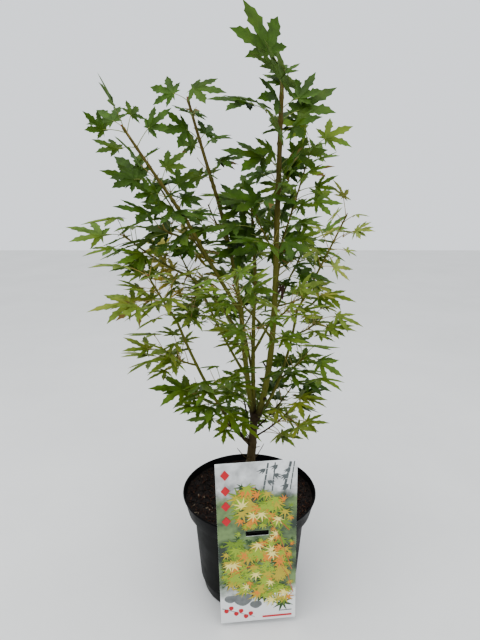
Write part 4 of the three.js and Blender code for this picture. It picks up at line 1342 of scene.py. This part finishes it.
class MAPLE_OT_wood(bpy.types.Operator):
    """Grow the trunk, stems and boughs with their nodes and bark"""
    bl_idname = "maple.wood"
    bl_label = "Trunk and boughs"

    def execute(self, context):
        wood = context.scene.maple_wood
        brown, dark, olive, tan = (tuple(c) for c in (wood.brown, wood.dark, wood.olive, wood.tan))
        fork = (BARK_HEIGHTS["fork"], dark)
        stems = [(height, olive) for height in BARK_HEIGHTS["stems"]]
        old_bark = bark_finish("old_bark", (BARK_HEIGHTS["foot"], brown), fork)
        young_bark = bark_finish("young_bark", fork, *stems, (BARK_HEIGHTS["tips"], tan))
        grooves = clouds("grooves", size=0.0035, depth=2)
        for name, curve in LIMB_CURVES.items():
            limb = self.limb(name, curve, wood)
            relief = wood.relief * (TRUNK_RELIEF if name == "trunk" else 1.0)
            relief *= min(1.0, LIMBS[name][3] / FULL_RELIEF_RADIUS)
            apply_modifier(limb, "DISPLACE", texture=grooves, strength=relief, mid_level=0.5,
                           texture_coords="LOCAL")
            limb.data.materials.clear()
            limb.data.materials.append(old_bark if name == "trunk" else young_bark)
            smooth_under(limb, 60)
            finish_piece(limb, "bough_bark" if name.endswith("bough") else "stem_bark", name)
        self.stubs(old_bark)
        return {"FINISHED"}

    def limb(self, name, curve, wood):
        """A tube with a swelling at each old leaf scar and a collar where it leaves its parent."""
        bpy.ops.object.select_all(action="DESELECT")
        bpy.ops.curve.primitive_bezier_curve_add()
        limb = bpy.context.object
        limb.name = name + "_bark"
        path = limb.data
        path.splines.clear()
        spline = path.splines.new("POLY")
        inside = 0.0 if name == "trunk" else LIMB_FOOT["inside"]
        collar_share = 0.0 if name == "trunk" else LIMB_FOOT["collar"]
        steps = int(curve.length / wood.step)
        spline.points.add(steps)
        for i, point in enumerate(spline.points):
            share = i / steps
            place = curve.place(share)
            if i == 0:
                place = place - curve.way(0) * inside
            along = share * curve.length
            offset = (along % wood.node_gap) - wood.node_gap / 2
            swell = 1 + wood.node_swell * math.exp(-(offset / SCAR_LENGTH) ** 2)
            collar = 1 + collar_share * math.exp(-(along / LIMB_FOOT["collar_length"]) ** 2)
            point.co = (*(place * MM), 1)
            point.radius = limb_radius(name, share) * swell * collar
        path.bevel_depth = MM
        path.bevel_resolution = max(1, wood.sides // 4 - 1)
        path.use_fill_caps = True
        bpy.ops.object.convert(target="MESH")
        limb = bpy.context.object
        edit_all(limb)
        bpy.ops.mesh.remove_doubles(threshold=0.00001)
        bpy.ops.mesh.normals_make_consistent(inside=False)
        bpy.ops.object.mode_set(mode="OBJECT")
        return limb

    def stubs(self, bark):
        """Short cut-back stubs and dead side twigs on the trunk and lower stems."""
        luck = np.random.default_rng(3)
        bundle = Bundle()
        for limb, share, azimuth, rise, reach, radius in STUBS:
            foot = LIMB_CURVES[limb].place(share)
            start = foot + heading(azimuth, rise) * limb_radius(limb, share) * 0.5
            end = start + heading(azimuth, rise) * (reach + limb_radius(limb, share))
            points = [start.lerp(end, s) for s in (0, 0.4, 0.8, 1.0)]
            bundle.add(*tube(points, [radius * 1.4, radius * 1.05, radius, radius * 0.7], 8))
        for _ in range(DEAD_TWIGS["count"]):
            foot = LIMB_CURVES["trunk"].place(luck.uniform(*DEAD_TWIGS["share"]))
            way = heading(luck.uniform(0, 360), luck.uniform(*DEAD_TWIGS["rise"]))
            reach = luck.uniform(*DEAD_TWIGS["reach"])
            bend = foot + way * reach * 0.5 + UP * luck.uniform(*DEAD_TWIG_BEND)
            stem = Bend(foot, bend, foot + way * reach + UP * luck.uniform(*DEAD_TWIGS["lift"]))
            twig(bundle, stem, *TWIG_RADII["dead"], (0.5, 0.8), 0)
        finish_piece(bundle.make("stubs", [bark]), "stem_bark")


class MAPLE_OT_foliage(bpy.types.Operator):
    """Grow the sprays: shoots, petioles, buds and leaves"""
    bl_idname = "maple.foliage"
    bl_label = "Foliage"

    def execute(self, context):
        settings = context.scene.maple_leaf
        crown = grow_crown()
        self.grow_shoots(crown, settings)
        dry = plain_finish("dry_leaf", tuple(settings.dry), 0.8, 200, 0.35)
        total = 0
        for i, (tint, (upper, under, slimness)) in enumerate(TINTS.items()):
            sprays = [grown for grown in crown if grown["spray"]["tint"] == tint]
            leaves = [leaf for grown in sprays for leaf in grown["leaves"] + grown["filling"]]
            total += len(leaves)
            finishes = [
                leaf_finish(tint + "_leaf", linear(*upper), settings.roughness),
                leaf_finish(tint + "_leaf_underside", linear(*under), min(1.0, settings.roughness + 0.2)),
                dry,
            ]
            points, faces, indices = leaf_mesh_data(leaves, slimness, settings, 40 + i)
            piece = new_piece(tint + "_leaves", points, faces, finishes, indices)
            smooth_under(piece, 75)
            nodes = ["foliage_" + grown["spray"]["name"] for grown in sprays]
            finish_piece(piece, "foliage", *nodes)
        print("leaves", total, "of them grown in the solids", sum(len(g["leaves"]) for g in crown))
        self.dead_leaf(settings, plain_finish("dead_leaf", linear(60, 38, 28), 0.85, 200, 0.35))
        return {"FINISHED"}

    def grow_shoots(self, crown, settings):
        """Shoots, petioles and buds, each kind joined."""
        shoots = Bundle()
        stalks = Bundle()
        buds = Bundle()
        luck = np.random.default_rng(8)
        for grown in crown:
            spray, stem = grown["spray"], grown["stem"]
            at_tip = spray["at"] == 1
            foot = LIMBS[spray["limb"]][4] if at_tip else SHOOT["aside_foot"]
            knots = [FIRST_KNOT, *pair_shares(spray)]
            twig(shoots, stem, foot, foot * SHOOT["tip_share"], knots, 0)
            bud(buds, stem.place(1), stem.way(1), BUD["end"] * foot)
            self.twiglets(stalks, grown, luck)
            for leaf in grown["leaves"] + grown["filling"]:
                ruddy = 1 if spray["tint"] in ("pale", "fresh") else 0
                radius = PETIOLE["forked_foot" if leaf["forks"] else "foot"]
                petiole(stalks, leaf, settings.arch, ruddy, radius)
                if leaf["foot"] != leaf["joint"]:
                    out = (leaf["way"] + stem.way(0.5)).normalized()
                    bud(buds, leaf["foot"] + out * BUD["out"], out, BUD["side"])
        finish_piece(shoots.make("shoots", [bpy.data.materials["young_bark"]]), "foliage")
        green = plain_finish("green_stalk", linear(118, 128, 58), 0.5)
        ruddy = plain_finish("ruddy_stalk", tuple(settings.stalk), 0.5)
        finish_piece(stalks.make("petioles", [green, ruddy]), "foliage")
        finish_piece(buds.make("buds", [plain_finish("red_bud", linear(124, 62, 44), 0.6)]), "foliage")

    def twiglets(self, bundle, grown, luck):
        """Fine bare side twigs, each with a swelling where a leaf has been."""
        stem = grown["stem"]
        for _ in range(TWIGLETS["count"]):
            share = luck.uniform(*TWIGLETS["share"])
            foot = stem.place(share)
            aside = heading(luck.uniform(0, 360), luck.uniform(*TWIGLETS["rise"]))
            way = (stem.way(share) + aside).normalized()
            reach = luck.uniform(*TWIGLETS["reach"])
            end = foot + way * reach + UP * luck.uniform(*TWIGLETS["lift"])
            bend = foot + way * reach * 0.5 - UP
            twig(bundle, Bend(foot, bend, end), *TWIG_RADII["spray"], (0.6, 1.0), 1)

    def dead_leaf(self, settings, brown):
        """One dark curled leaf that hangs from the leader's side."""
        foot = LIMB_CURVES["leader_stem"].place(DEAD_LEAF["share"]) + Vector(DEAD_LEAF["foot"])
        joint = foot + Vector(DEAD_LEAF["joint"])
        leaf = {"foot": foot, "joint": joint, "blade": DEAD_LEAF["length"],
                "forward": Vector(DEAD_LEAF["forward"]).normalized(),
                "normal": Vector(DEAD_LEAF["face"]).normalized()}
        points, faces, _ = leaf_mesh_data([leaf], 1.0, settings, 3)
        curled = points.copy()
        turn = (points[:, 0] - joint.x) / DEAD_LEAF["curl_width"]
        curled[:, 0] = joint.x + DEAD_LEAF["curl"] * np.sin(turn)
        curled[:, 1] = points[:, 1] + DEAD_LEAF["curl"] * (1 - np.cos(turn))
        piece = new_piece("dead_leaf", curled, faces, [brown])
        bundle = Bundle()
        petiole(bundle, leaf, 0.1, 0)
        stalk = bundle.make("dead_leaf_stalk", [brown])
        activate(piece)
        stalk.select_set(True)
        bpy.ops.object.join()
        finish_piece(piece, "foliage")


class MAPLE_OT_stage(bpy.types.Operator):
    """Set the floor, the light and the camera"""
    bl_idname = "maple.stage"
    bl_label = "Stage"

    def execute(self, context):
        settings = context.scene.maple_stage
        bpy.ops.object.select_all(action="DESELECT")
        bpy.ops.mesh.primitive_plane_add(size=FLOOR["size"], location=(0, 0, -FLOOR["drop"]))
        floor = context.object
        floor.name = "floor"
        finish = Finish("pale_floor", 0.6)
        scuffs = finish.noise(finish.place(), 3, 6, 0.6)
        pale = linear(232, 232, 230)
        finish.colour(finish.blend(finish.spread(scuffs, 0.3, 0.7), shade(pale, 0.93), pale))
        floor.data.materials.append(finish.material)

        world = bpy.data.worlds.new("soft_grey")
        context.scene.world = world
        world.use_nodes = True
        background = world.node_tree.nodes["Background"]
        background.inputs["Color"].default_value = (0.93, 0.96, 1.0, 1)
        background.inputs["Strength"].default_value = settings.background

        for name, place, size, share in LIGHTS:
            light = bpy.data.lights.new(name, "AREA")
            light.size = size
            light.energy = settings.overhead * share
            lamp = bpy.data.objects.new(name, light)
            lamp.location = place
            lamp.rotation_euler = (LIGHT_AIM - Vector(place)).to_track_quat("-Z", "Y").to_euler()
            context.scene.collection.objects.link(lamp)

        camera = bpy.data.cameras.new("camera")
        camera.lens = CAMERA["lens"]
        camera.sensor_width = CAMERA["sensor"]
        view = bpy.data.objects.new("camera", camera)
        view.location = CAMERA["place"]
        view.rotation_euler = (math.radians(90 - CAMERA["tilt"]), 0, 0)
        context.scene.collection.objects.link(view)
        context.scene.camera = view
        context.scene.view_settings.look = "AgX - Medium High Contrast"
        return {"FINISHED"}


OPERATORS = (MAPLE_OT_pot, MAPLE_OT_soil, MAPLE_OT_card, MAPLE_OT_wood, MAPLE_OT_foliage, MAPLE_OT_stage)
SETTINGS = {
    "maple_wood": WoodSettings,
    "maple_leaf": LeafSettings,
    "maple_pot": PotSettings,
    "maple_card": CardSettings,
    "maple_stage": StageSettings,
}


class MAPLE_PT_panel(bpy.types.Panel):
    """The maple's pieces and their settings"""
    bl_label = "Potted Maple"
    bl_idname = "MAPLE_PT_panel"
    bl_space_type = "VIEW_3D"
    bl_region_type = "UI"
    bl_category = "Maple"

    def draw(self, context):
        for operator in OPERATORS:
            self.layout.operator(operator.bl_idname)
        for name, group in SETTINGS.items():
            box = self.layout.box()
            for key in group.__annotations__:
                box.prop(getattr(context.scene, name), key)


def register():
    for group in SETTINGS.values():
        bpy.utils.register_class(group)
    for name, group in SETTINGS.items():
        setattr(bpy.types.Scene, name, PointerProperty(type=group))
    for operator in OPERATORS:
        bpy.utils.register_class(operator)
    bpy.utils.register_class(MAPLE_PT_panel)


def unregister():
    bpy.utils.unregister_class(MAPLE_PT_panel)
    for operator in reversed(OPERATORS):
        bpy.utils.unregister_class(operator)
    for name in SETTINGS:
        delattr(bpy.types.Scene, name)
    for group in reversed(SETTINGS.values()):
        bpy.utils.unregister_class(group)


def main():
    register()
    for operator in OPERATORS:
        group, name = operator.bl_idname.split(".")
        getattr(getattr(bpy.ops, group), name)()


if __name__ == "__main__":
    main()
